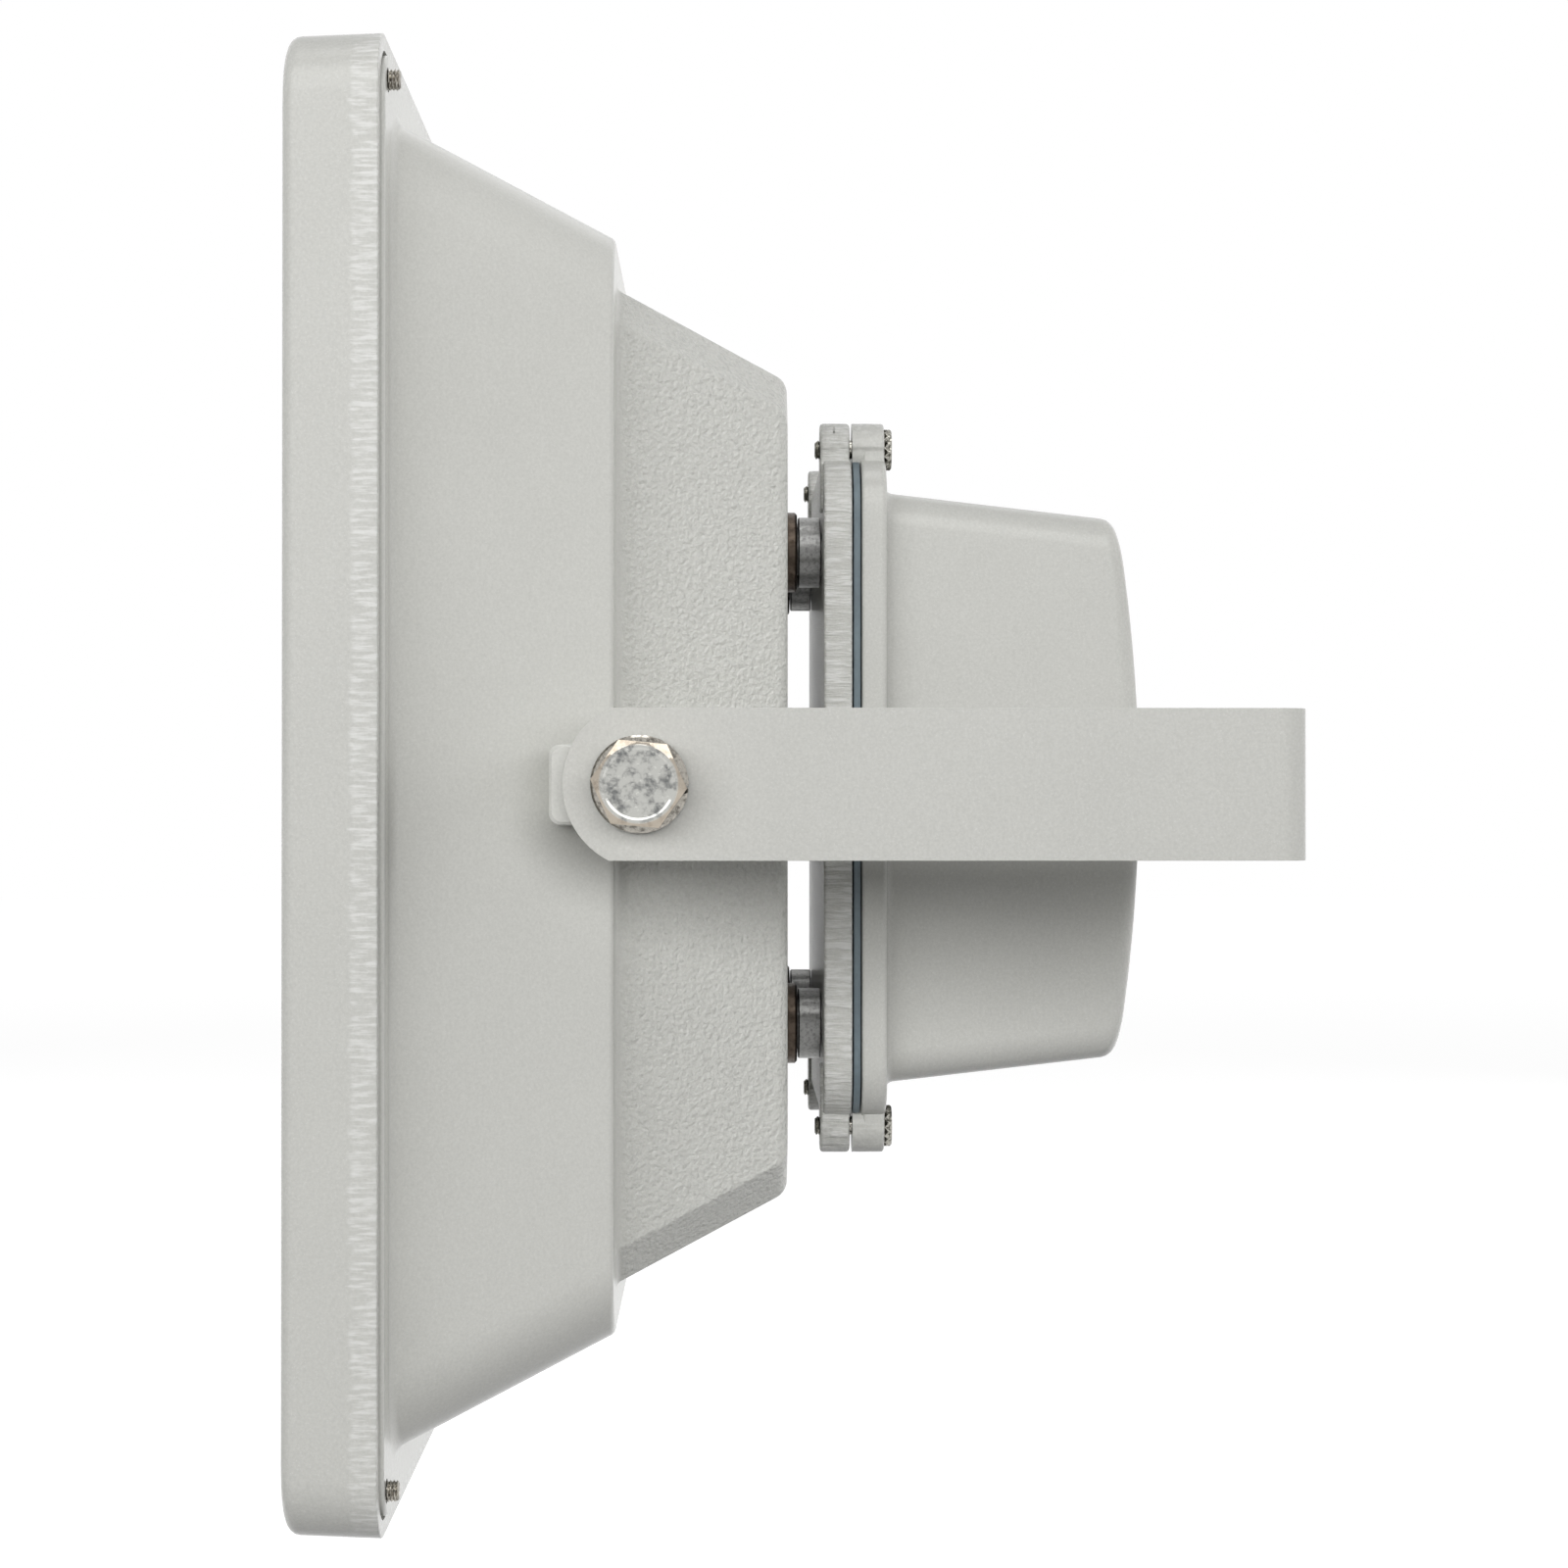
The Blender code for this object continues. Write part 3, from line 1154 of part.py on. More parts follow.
def make_board_screws():
    """Four screws through the board and the spreader into the housing's posts."""
    seat = BOARD_FRONT - SEAT_GAP
    length = LEDGE + BOARD_SCREW_GRIP - seat
    profile = screw_profile(BOARD_SCREW_HEAD_DIAMETER, BOARD_SCREW_HEAD, BOARD_SCREW_DIAMETER, length)
    mesh = turned("board_screw", profile, SMALL_STEPS)
    floor = BOARD_SCREW_HEAD - BOARD_SCREW_SOCKET_DEPTH
    socket = prism("socket", BOARD_SCREW_SOCKET, floor, BOARD_SCREW_HEAD + OVERRUN)
    place = BOARD_SCREW_PLACE
    four("board_screw", mesh, BRIGHT_STEEL, seat, place, place, ALONG["front"], [socket])


def make_standoffs():
    """Stand-offs with their rings and nuts, at the driver box's corners."""
    across = (STANDOFF_Y, STANDOFF_Z, ALONG["rear"])
    bore = STANDOFF_BORE / 2
    spigot = STANDOFF_SPIGOT / 2
    body = STANDOFF_DIAMETER / 2
    shoulder = STANDOFF_RING_THICKNESS + 2 * SEAT_GAP
    body_end = STANDOFF_GAP - SEAT_GAP
    end = STANDOFF_NUT_REAR + STANDOFF_THREAD_END - HOUSING_REAR
    profile = [
        (bore, end),
        (spigot - THREAD_CHAMFER, end),
        (spigot, end - THREAD_CHAMFER),
        (spigot, body_end),
        (body, body_end),
        (body, shoulder),
        (spigot, shoulder),
        (spigot, THREAD_CHAMFER - HOUSING_WALL),
        (spigot - THREAD_CHAMFER, -HOUSING_WALL),
        (bore, -HOUSING_WALL),
    ]
    body = turned("standoff", profile, SMALL_STEPS, ring=True)
    four("standoff", body, POWDER_COAT, HOUSING_REAR, *across)
    outer = STANDOFF_HOLE + 2 * STANDOFF_RING_WALL
    profile = tube_profile(outer, STANDOFF_HOLE, 0, STANDOFF_RING_THICKNESS, THREAD_CHAMFER)
    ring = turned("standoff_ring", profile, SMALL_STEPS, ring=True)
    four("standoff_ring", ring, POWDER_COAT, HOUSING_REAR + SEAT_GAP, *across)
    nut = hex_nut("standoff_nut", STANDOFF_NUT_FLATS, STANDOFF_HOLE, 0, STANDOFF_NUT_THICKNESS)
    four("standoff_nut", nut, BRIGHT_STEEL, STANDOFF_NUT_FRONT, *across)


def ear_places():
    """The ears' places across the lamp, with the way each one points."""
    return [(EAR_Y * y, EAR_Z * z, z) for y, z in CORNERS]


def add_ears(obj, start, end):
    """Joins a softened ear to a plate at each of its four screws."""
    for count, (across, up, way) in enumerate(ear_places(), 1):
        name = f"{obj.name}_ear_{count}"
        outline = tongue((across, up), EAR_RADIUS, EAR_NECK, way)
        ear = cutter(name, plate(name, [outline], start, end))
        soften(ear, EAR_EDGE_RADIUS)
        carve(obj, ear, "UNION")


def make_box_base():
    """The driver box's base plate, machined flat for its gasket."""
    outline = rounded(BOX_HALF_Y, BOX_HALF_Z, BOX_CORNER_RADIUS)
    mesh = plate("driver_box_base", [outline], BASE_FRONT, BASE_REAR)
    base = piece("driver_box_base", mesh, POWDER_COAT)
    soften(base, BASE_EDGE_RADIUS)
    add_ears(base, BASE_EAR_FRONT, BASE_EAR_REAR)
    places = [(across, up) for across, up, way in ear_places()]
    diameter = COVER_SCREW_DIAMETER + 2 * HOLE_CLEARANCE
    ends = (BASE_EAR_FRONT - OVERRUN, BASE_REAR + OVERRUN)
    holes = cylinders("base_screw_holes", places, diameter, *ends, steps=SMALL_STEPS)
    carve(base, cutter("base_screw_holes", holes))
    places = [(STANDOFF_Y * y, STANDOFF_Z * z) for y, z in CORNERS]
    holes = cylinders("base_standoff_holes", places, STANDOFF_HOLE, *ends)
    carve(base, cutter("base_standoff_holes", holes))
    diameter = FOOT_SCREW_DIAMETER + 2 * HOLE_CLEARANCE
    ends = (BASE_REAR - FOOT_SCREW_GRIP - FOOT_HOLE_SPARE, BASE_REAR + OVERRUN)
    holes = cylinders("foot_screw_holes", FOOT_SCREW_PLACES, diameter, *ends, steps=SMALL_STEPS)
    carve(base, cutter("foot_screw_holes", holes))
    settle(base)


def make_box_gasket():
    """The driver box's gasket, notched round the cover's ears."""
    outlines = []
    for inset in (BOX_GASKET_INSET, BOX_GASKET_INSET + BOX_GASKET_WIDTH):
        radius = BOX_CORNER_RADIUS - inset
        outlines.append(rounded(BOX_HALF_Y - inset, BOX_HALF_Z - inset, radius))
    start = BASE_REAR + SEAT_GAP
    end = start + BOX_GASKET_THICKNESS
    gasket = piece("driver_gasket", plate("driver_gasket", outlines, start, end), BLUE_RUBBER)
    places = [(across, up) for across, up, way in ear_places()]
    diameter = 2 * (EAR_RADIUS + EAR_GASKET_CLEARANCE)
    notches = cylinders("gasket_notches", places, diameter, start - OVERRUN, end + OVERRUN)
    carve(gasket, cutter("gasket_notches", notches))
    settle(gasket)


def crowned(loops):
    """Bows loops rearwards in the middle of their height, the more the further back."""
    depth = COVER_REAR - COVER_FLANGE_REAR
    for loop in loops:
        half_z = max(point.z for point in loop)
        share = max(0, (loop[0].x - COVER_FLANGE_REAR) / depth)
        for point in loop:
            point.x += COVER_CROWN * share * (1 - (point.z / half_z) ** 2)
    return loops


def cover_body():
    """The cover's shell, lofted from its inner floor round its rim to its back."""
    rear = -cover_inset(COVER_REAR)
    floor = COVER_REAR - COVER_WALL
    root = -COVER_FLANGE_WIDTH
    opening = root - COVER_WALL
    outer = round_corner(COVER_CORNER_RADIUS)
    inner = round_corner(COVER_CORNER_RADIUS - COVER_WALL)
    flange = round_corner(BOX_CORNER_RADIUS)
    floor_offset = -cover_inset(floor) - COVER_WALL
    profile = [
        (floor, floor_offset - 2 * COVER_INNER_RADIUS, inner, 0),
        (floor, floor_offset, inner, COVER_INNER_RADIUS),
        (COVER_FLANGE_REAR, opening, inner, 0),
        (COVER_FRONT, opening, inner, 0),
        (COVER_FRONT, 0, flange, FINE_FILLET),
        (COVER_FLANGE_REAR, 0, flange, COVER_FLANGE_RADIUS),
        (COVER_FLANGE_REAR, root, outer, COVER_ROOT_RADIUS),
        (COVER_REAR, rear, outer, COVER_EDGE_RADIUS),
        (COVER_REAR, rear - 2 * COVER_EDGE_RADIUS, outer, 0),
    ]
    loops = sections(filleted(profile), BOX_HALF_Y, BOX_HALF_Z, COVER_SIDE_STEPS)
    return loft("driver_box_cover", crowned(loops))


def make_box_cover():
    """The crowned cover, with its ears and the gland's pad."""
    cover = piece("driver_box_cover", cover_body(), POWDER_COAT)
    add_ears(cover, COVER_FRONT + EAR_FORWARD, COVER_EAR_REAR)
    places = [(across, up) for across, up, way in ear_places()]
    ends = (COVER_EAR_FRONT, COVER_EAR_REAR - EAR_EDGE_RADIUS)
    bosses = cylinders("ear_bosses", places, 2 * EAR_RADIUS, *ends)
    carve(cover, cutter("ear_bosses", bosses), "UNION")
    sink = COVER_SCREW_SEAT - SEAT_GAP
    diameter = COVER_SCREW_HEAD_DIAMETER + 2 * HEAD_CLEARANCE
    counterbores = cylinders("ear_counterbores", places, diameter, sink, COVER_EAR_REAR + OVERRUN)
    carve(cover, cutter("ear_counterbores", counterbores))
    diameter = COVER_SCREW_DIAMETER + 2 * HOLE_CLEARANCE
    ends = (COVER_EAR_FRONT - OVERRUN, COVER_EAR_REAR + OVERRUN)
    holes = cylinders("cover_screw_holes", places, diameter, *ends, steps=SMALL_STEPS)
    carve(cover, cutter("cover_screw_holes", holes))
    place = [(GLAND_STATION, 0)]
    pad = cylinders("gland_pad", place, 2 * GLAND_PAD_RADIUS, GLAND_SEAT, GLAND_FACE, "Y")
    carve(cover, cutter("gland_pad", pad), "UNION")
    hole = cylinders("gland_hole", place, GLAND_HOLE, GLAND_SEAT - OVERRUN, GLAND_FACE + OVERRUN, "Y")
    carve(cover, cutter("gland_hole", hole))
    settle(cover)


def make_cover_screws():
    """Four knurled screws through the cover's ears into the base's."""
    length = COVER_SCREW_SEAT - BASE_EAR_FRONT + COVER_SCREW_END
    profile = screw_profile(COVER_SCREW_HEAD_DIAMETER, COVER_SCREW_HEAD, COVER_SCREW_DIAMETER, length)
    mesh = turned("cover_screw", profile)
    floor = COVER_SCREW_HEAD - COVER_SCREW_SOCKET_DEPTH
    socket = prism("socket", COVER_SCREW_SOCKET, floor, COVER_SCREW_HEAD + OVERRUN)
    four("cover_screw", mesh, DARK_STEEL, COVER_SCREW_SEAT, EAR_Y, EAR_Z, ALONG["rear"], [socket])


def make_driver():
    """The LED driver: a potted case with a foot at each end."""
    rear = DRIVER_FRONT + DRIVER_HEIGHT
    low = (DRIVER_FRONT + FOOT_PROUD, -DRIVER_HALF_Y, DRIVER_BOTTOM)
    high = (rear, DRIVER_HALF_Y, DRIVER_TOP)
    driver = piece("led_driver", boxes("led_driver", [(low, high)]), PLAIN_ALUMINIUM)
    soften(driver, DRIVER_EDGE_RADIUS)
    half = FOOT_WIDTH / 2
    low = (DRIVER_FRONT, -half, DRIVER_BOTTOM - FOOT_LENGTH)
    high = (FOOT_REAR, half, DRIVER_TOP + FOOT_LENGTH)
    feet = cutter("driver_feet", boxes("driver_feet", [(low, high)]))
    carve(driver, feet, "UNION")
    diameter = FOOT_SCREW_DIAMETER + 2 * HOLE_CLEARANCE
    ends = (DRIVER_FRONT - OVERRUN, FOOT_REAR + OVERRUN)
    holes = cylinders("foot_holes", FOOT_SCREW_PLACES, diameter, *ends, steps=SMALL_STEPS)
    carve(driver, cutter("foot_holes", holes))
    settle(driver)


def make_driver_screws():
    """Two screws through the driver's feet into the base plate."""
    seat = FOOT_REAR + SEAT_GAP
    length = seat - BASE_REAR + FOOT_SCREW_GRIP
    profile = screw_profile(FOOT_SCREW_HEAD_DIAMETER, FOOT_SCREW_HEAD, FOOT_SCREW_DIAMETER, length)
    mesh = turned("driver_screw", profile, SMALL_STEPS)
    places = [(seat, across, up) for across, up in FOOT_SCREW_PLACES]
    first = piece("driver_screw_1", mesh, BRIGHT_STEEL, places[0], ALONG["rear"])
    floor = FOOT_SCREW_HEAD - FOOT_SCREW_SOCKET_DEPTH
    socket = prism("driver_screw_socket", FOOT_SCREW_SOCKET, floor, FOOT_SCREW_HEAD + OVERRUN)
    carve(first, cutter("driver_screw_socket", socket, places[0], ALONG["rear"]))
    settle(first)
    copies(first, ["driver_screw_2"], places[1:])


def make_terminal_block():
    """The stepped block of screw terminals, its entries facing down."""
    width = TERMINAL_PITCH * TERMINAL_WAYS
    step = DRIVER_FRONT + TERMINAL_STEP_HEIGHT
    rear = DRIVER_FRONT + TERMINAL_HEIGHT
    outline = [
        (DRIVER_FRONT, TERMINAL_BOTTOM),
        (step, TERMINAL_BOTTOM),
        (step, TERMINAL_BOTTOM + TERMINAL_STEP_DEPTH),
        (rear, TERMINAL_BOTTOM + TERMINAL_STEP_DEPTH),
        (rear, TERMINAL_TOP),
        (DRIVER_FRONT, TERMINAL_TOP),
    ]
    mesh = plate("terminal_block", [outline], -width / 2, width / 2, "Y")
    block = piece("terminal_block", mesh, TERMINAL_NYLON)
    middle = (TERMINAL_WAYS - 1) / 2
    level = DRIVER_FRONT + TERMINAL_STEP_HEIGHT / 2
    places = [(level, (way - middle) * TERMINAL_PITCH) for way in range(TERMINAL_WAYS)]
    ends = (TERMINAL_BOTTOM - OVERRUN, TERMINAL_BOTTOM + TERMINAL_ENTRY_DEPTH)
    diameter = TERMINAL_ENTRY_DIAMETER
    entries = cylinders("terminal_entries", places, diameter, *ends, axis="Z", steps=SMALL_STEPS)
    carve(block, cutter("terminal_entries", entries))
    settle(block)


def bent(route, radius):
    """A route's points with its corners bent round, as tightly as its runs need."""
    points = [Vector(route[0])]
    for before, here, after in zip(route, route[1:], route[2:]):
        corner = Vector(here)
        back = Vector(before) - corner
        ahead = Vector(after) - corner
        run = min(radius / math.tan(back.angle(ahead) / 2), back.length / 2, ahead.length / 2)
        start = corner + back.normalized() * run
        end = corner + ahead.normalized() * run
        for step in range(LEAD_STEPS + 1):
            share = step / LEAD_STEPS
            points.append(start.lerp(corner, share).lerp(corner.lerp(end, share), share))
    return points + [Vector(route[-1])]


def make_lead():
    """The lead from the driver's side, through a stand-off, to the board's back."""
    level = DRIVER_FRONT + LEAD_RISE
    exit_level = DRIVER_TOP - LEAD_FROM_END
    route = [
        (level, DRIVER_HALF_Y + SEAT_GAP, exit_level),
        (level, STANDOFF_Y, exit_level),
        (level, STANDOFF_Y, STANDOFF_Z),
        (BOARD_REAR + SEAT_GAP, STANDOFF_Y, STANDOFF_Z),
    ]
    points = bent(route, LEAD_BEND_RADIUS)
    curve = bpy.data.curves.new("led_lead", "CURVE")
    curve.dimensions = "3D"
    curve.bevel_depth = LEAD_DIAMETER / 2
    curve.bevel_resolution = LEAD_RESOLUTION
    curve.use_fill_caps = True
    spline = curve.splines.new("POLY")
    spline.points.add(len(points) - 1)
    for point, place in zip(spline.points, points):
        point.co = (*place, 1)
    guide = cutter("led_lead_route", curve)
    bm = bmesh.new()
    bm.from_mesh(evaluated_mesh(guide))
    bpy.data.objects.remove(guide, do_unlink=True)
    bmesh.ops.remove_doubles(bm, verts=bm.verts, dist=WELD_DISTANCE)
    settle(piece("led_lead", mesh_from(bm, "led_lead"), LEAD_JACKET))


def make_pivot_bolts():
    """A hexagon bolt and a split washer at each end of the tilt axis."""
    head = hex_cap(
        "pivot_bolt",
        PIVOT_BOLT_FLATS,
        0,
        PIVOT_BOLT_HEAD,
        PIVOT_BOLT_FACE_SETBACK,
        PIVOT_BOLT_TURN,
    )
    radius = PIVOT_BOLT_DIAMETER / 2
    profile = [
        (0, PIVOT_BOLT_HEAD / 2),
        (radius, PIVOT_BOLT_HEAD / 2),
        (radius, THREAD_CHAMFER - PIVOT_BOLT_LENGTH),
        (radius - THREAD_CHAMFER, -PIVOT_BOLT_LENGTH),
        (0, -PIVOT_BOLT_LENGTH),
    ]
    places = {"near": (0, -PIVOT_BOLT_SEAT, 0), "far": (0, PIVOT_BOLT_SEAT, 0)}
    bolt = piece("pivot_bolt_near", head, BRIGHT_STEEL, places["near"], ALONG["near"])
    shank = turned("pivot_shank", profile)
    carve(bolt, cutter("pivot_shank", shank, places["near"], ALONG["near"]), "UNION")
    settle(bolt)
    inner = PIVOT_HOLE
    outer = inner + 2 * LOCK_WASHER_WIDTH
    profile = tube_profile(outer, inner, 0, LOCK_WASHER_THICKNESS, THREAD_CHAMFER)
    seats = {"near": (0, -ARM_OUTER - SEAT_GAP, 0), "far": (0, ARM_OUTER + SEAT_GAP, 0)}
    ring = turned("lock_washer", profile, ring=True)
    washer = piece("lock_washer_near", ring, BRIGHT_STEEL, seats["near"], ALONG["near"])
    half = LOCK_WASHER_SPLIT / 2
    slit = boxes("washer_split", [((0, -half, -outer), (outer, half, outer))])
    slit.transform(Matrix.Rotation(LOCK_WASHER_SLANT, 4, "X"))
    carve(washer, cutter("washer_split", slit, seats["near"], ALONG["near"]))
    settle(washer)
    for first, at in ((bolt, places["far"]), (washer, seats["far"])):
        copies(first, [first.name.replace("near", "far")], [at])
        bpy.data.objects[first.name.replace("near", "far")].rotation_euler = ALONG["far"]


def make_gland():
    """The cable gland in the cover's far side: body, seal, nut and locknut."""
    at = (GLAND_STATION, GLAND_FACE, 0)
    turn = ALONG["far"]
    flange_top = SEAT_GAP + GLAND_FLANGE
    neck_top = flange_top + GLAND_NECK_LENGTH
    neck = GLAND_BORE / 2 + GLAND_NECK_WALL
    seat = GLAND_SEAT - GLAND_FACE
    thread_end = seat - SEAT_GAP - LOCKNUT_THICKNESS - GLAND_THREAD_END
    thread = GLAND_THREAD / 2
    flange = hex_cap("gland_flange", GLAND_FLATS, SEAT_GAP, flange_top, GLAND_FLANGE_SETBACK)
    body = piece("gland_body", flange, NICKEL, at, turn)
    profile = [
        (0, neck_top),
        (neck - THREAD_CHAMFER, neck_top),
        (neck, neck_top - THREAD_CHAMFER),
        (neck, flange_top - GLAND_FLANGE / 2),
        (thread, flange_top - GLAND_FLANGE / 2),
        (thread, thread_end + THREAD_CHAMFER),
        (thread - THREAD_CHAMFER, thread_end),
        (0, thread_end),
    ]
    carve(body, cutter("gland_stem", turned("gland_stem", profile), at, turn), "UNION")
    ends = (thread_end - OVERRUN, neck_top + OVERRUN)
    bore = cylinders("gland_bore", [(0, 0)], GLAND_BORE, *ends, axis="Z")
    carve(body, cutter("gland_bore", bore, at, turn))
    settle(body)
    seal_start = neck_top + SEAT_GAP
    seal_end = seal_start + GLAND_SEAL_LENGTH
    profile = tube_profile(2 * neck, GLAND_SEAL_BORE, seal_start, seal_end, THREAD_CHAMFER)
    seal = turned("gland_seal", profile, ring=True)
    settle(piece("gland_seal", seal, LEAD_JACKET, at, turn))
    nut_start = flange_top + GLAND_NUT_GAP
    nut_hex_end = nut_start + GLAND_NUT_HEX
    ceiling = seal_end + SEAT_GAP
    nut_end = ceiling + GLAND_NUT_END
    mouth = GLAND_BORE / 2
    hexagon = prism("gland_nut", GLAND_FLATS, nut_start, nut_hex_end)
    nut = piece("gland_nut", hexagon, NICKEL, at, turn)
    profile = [
        (0, nut_end),
        (mouth + GLAND_NUT_MOUTH_WALL, nut_end),
        (GLAND_FLATS / 2, nut_hex_end),
        (GLAND_FLATS / 2, nut_start + GLAND_NUT_HEX / 2),
        (0, nut_start + GLAND_NUT_HEX / 2),
    ]
    carve(nut, cutter("gland_dome", turned("gland_dome", profile), at, turn), "UNION")
    diameter = 2 * (neck + HOLE_CLEARANCE)
    hollow = cylinders("gland_nut_hollow", [(0, 0)], diameter, nut_start - OVERRUN, ceiling, axis="Z")
    carve(nut, cutter("gland_nut_hollow", hollow, at, turn))
    opening = cylinders("gland_mouth", [(0, 0)], GLAND_BORE, nut_start, nut_end + OVERRUN, axis="Z")
    carve(nut, cutter("gland_mouth", opening, at, turn))
    settle(nut)
    locknut = hex_nut("gland_locknut", LOCKNUT_FLATS, GLAND_HOLE, -LOCKNUT_THICKNESS, 0)
    at = (GLAND_STATION, GLAND_SEAT - SEAT_GAP, 0)
    settle(piece("gland_locknut", locknut, NICKEL, at, turn))


def main():
    """Builds the whole light."""
    clear_scene()
    new_collection(PARTS)
    new_collection(CUTTERS)
    axis = bpy.data.objects.new(TILT_AXIS, None)
    axis.location = (-YOKE_REACH, 0, 0)
    bpy.data.collections[PARTS].objects.link(axis)
    make_yoke()
    make_housing()
    make_front_frame()
    make_glass()
    make_housing_gasket()
    make_frame_screws()
    make_reflector()
    make_lens_panel()
    make_led_board()
    make_heat_spreader()
    make_board_screws()
    make_standoffs()
    make_box_base()
    make_box_gasket()
    make_box_cover()
    make_cover_screws()
    make_driver()
    make_driver_screws()
    make_terminal_block()
    make_lead()
    make_pivot_bolts()
    make_gland()


if __name__ == "__main__":
    main()
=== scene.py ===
"""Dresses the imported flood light: fine surfaces over its solids, finishes, studio and camera.

Sizes are metres. The lamp's pieces are made in the lamp's own frame, whose origin
is on the tilt axis: x is the station behind the axis, y points away from the
camera and z is up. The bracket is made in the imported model's frame. Turned pieces
are made about their own z axis and laid along the lamp by their object's turn.
"""

import logging
import math
from collections.abc import Callable, Iterable, Mapping, Sequence
from dataclasses import dataclass
from enum import Enum
from typing import Any

import bmesh
import bpy
from mathutils import Matrix, Vector


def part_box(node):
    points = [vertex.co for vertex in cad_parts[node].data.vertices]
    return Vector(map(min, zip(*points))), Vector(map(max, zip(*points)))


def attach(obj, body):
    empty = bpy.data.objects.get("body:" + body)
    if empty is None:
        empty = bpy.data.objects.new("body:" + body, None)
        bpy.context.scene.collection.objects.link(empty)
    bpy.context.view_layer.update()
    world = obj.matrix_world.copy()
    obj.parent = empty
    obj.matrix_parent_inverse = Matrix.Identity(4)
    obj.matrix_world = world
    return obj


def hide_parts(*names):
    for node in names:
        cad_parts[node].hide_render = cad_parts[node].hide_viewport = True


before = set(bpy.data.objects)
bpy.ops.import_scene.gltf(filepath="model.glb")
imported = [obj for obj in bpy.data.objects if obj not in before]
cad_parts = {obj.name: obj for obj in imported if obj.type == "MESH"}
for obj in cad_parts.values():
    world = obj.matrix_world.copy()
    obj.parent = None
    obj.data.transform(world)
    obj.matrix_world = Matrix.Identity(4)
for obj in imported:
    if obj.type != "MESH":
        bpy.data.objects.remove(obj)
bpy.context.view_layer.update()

LOG = logging.getLogger("flood_light")

Point = tuple[float, float]
Triple = tuple[float, float, float]
Outline = list[Point]
Row = tuple[float, float, Outline]
Colour = tuple[float, float, float, float]
Relief = Callable[[float, float, float], float]

CORNER_POINTS = 16
FILLET_STEPS = 5
ROUND_STEPS = 64
HEAD_STEPS = 120
GLAND_STEPS = 96
KNURL_STEPS = 160
SCREW_STEPS = 40
GAP = 0.0003
OVERRUN = 0.002
WELD = 0.00001
HEX_CHAMFER = math.tan(math.radians(30))

HOUSING_REAR = 0.035
EARS_FROM = 0.0868
CHIP_PITCH = 0.039266
DOOR_SCREWS: Point = (0.161096, 0.161096)
BOARD_SCREWS: Point = (0.109166, 0.109166)
STANDOFFS: Point = (0.050, 0.0619)
HOLE_M4 = 0.0046
HOLE_M5 = 0.0056
HOLE_M12 = 0.0126
# The gland's station, and how far to the side its face and its locknut's seat lie
GLAND_PLACE: Triple = (0.093132, 0.065815, 0.056452)
GLAND_HOLE = 0.020

SQUARE: tuple[Point, ...] = ((1, 1), (-1, 1), (-1, -1), (1, -1))
TO_FRONT = Matrix.Rotation(-math.pi / 2, 4, "Y")
BOLT_LOW, BOLT_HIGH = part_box("pivot_bolt_near")
TILT_AXIS = ((BOLT_LOW.x + BOLT_HIGH.x) / 2, 0.0, 0.0)


class Along(Enum):
    """Turns that lay a piece's own z axis along the way named."""

    REAR = (0.0, math.pi / 2, 0.0)
    FRONT = (0.0, -math.pi / 2, 0.0)
    FAR = (-math.pi / 2, 0.0, 0.0)
    NEAR = (math.pi / 2, 0.0, 0.0)


class Body(Enum):
    """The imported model's two bodies."""

    YOKE = "yoke"
    LAMP = "lamp_head"


class Operation(Enum):
    """Ways in which one solid shapes another."""

    CUT = "DIFFERENCE"
    JOIN = "UNION"
    MEET = "INTERSECT"


# Outlines, sections and reliefs


def arc(centre: Point, radius: float, start: float, end: float, steps: int) -> Outline:
    """Points on an arc, from one angle to another.

    Args:
        centre: the arc's centre.
        radius: its radius.
        start: the first point's angle.
        end: the last point's angle.
        steps: the number of chords.

    Returns:
        One point more than there are chords.
    """
    angles = [start + (end - start) * step / steps for step in range(steps + 1)]
    return [(centre[0] + radius * math.cos(a), centre[1] + radius * math.sin(a)) for a in angles]


def circle(centre: Point, diameter: float) -> Outline:
    """A closed circle's points."""
    return arc(centre, diameter / 2, 0, math.tau, ROUND_STEPS)[:-1]


def hexagon(flats: float, turn: float = 0.0) -> Outline:
    """A hexagon's points, with a corner to the right before it is turned."""
    return arc((0, 0), flats / math.sqrt(3), turn, turn + math.tau, 6)[:-1]


def slot_outline(centre: Point, length: float, width: float) -> Outline:
    """A round-ended slot's points, long across."""
    run, quarter, half = (length - width) / 2, math.pi / 2, ROUND_STEPS // 4
    right = arc((centre[0] + run, centre[1]), width / 2, -quarter, quarter, half)
    return right + arc((centre[0] - run, centre[1]), width / 2, quarter, 3 * quarter, half)


def round_corner(radius: float) -> Outline:
    """Insets (across, up) from a sharp corner of points on a quarter circle."""
    angles = [math.pi / 2 * step / (CORNER_POINTS - 1) for step in range(CORNER_POINTS)]
    return [(radius * (1 - math.cos(a)), radius * (1 - math.sin(a))) for a in angles]


def cut_corner(leg: float, edge_radius: float) -> Outline:
    """Insets of a corner cut off at 45 degrees, with both its edges rounded.

    Args:
        leg: the cut's length along each side.
        edge_radius: the radius of the two edges that the cut leaves.

    Returns:
        As many insets as a round corner has.
    """
    run = edge_radius * math.tan(math.pi / 8)
    half = CORNER_POINTS // 2
    first = []
    for step in range(half):
        angle = math.pi / 4 * step / (half - 1)
        first.append((edge_radius * (1 - math.cos(angle)), leg + run - edge_radius * math.sin(angle)))
    return first + [(up, across) for across, up in reversed(first)]


def blend(first: Outline, second: Outline, share: float) -> Outline:
    """Corner insets part of the way from one list to another."""
    return [(a + (c - a) * share, b + (d - b) * share) for (a, b), (c, d) in zip(first, second)]


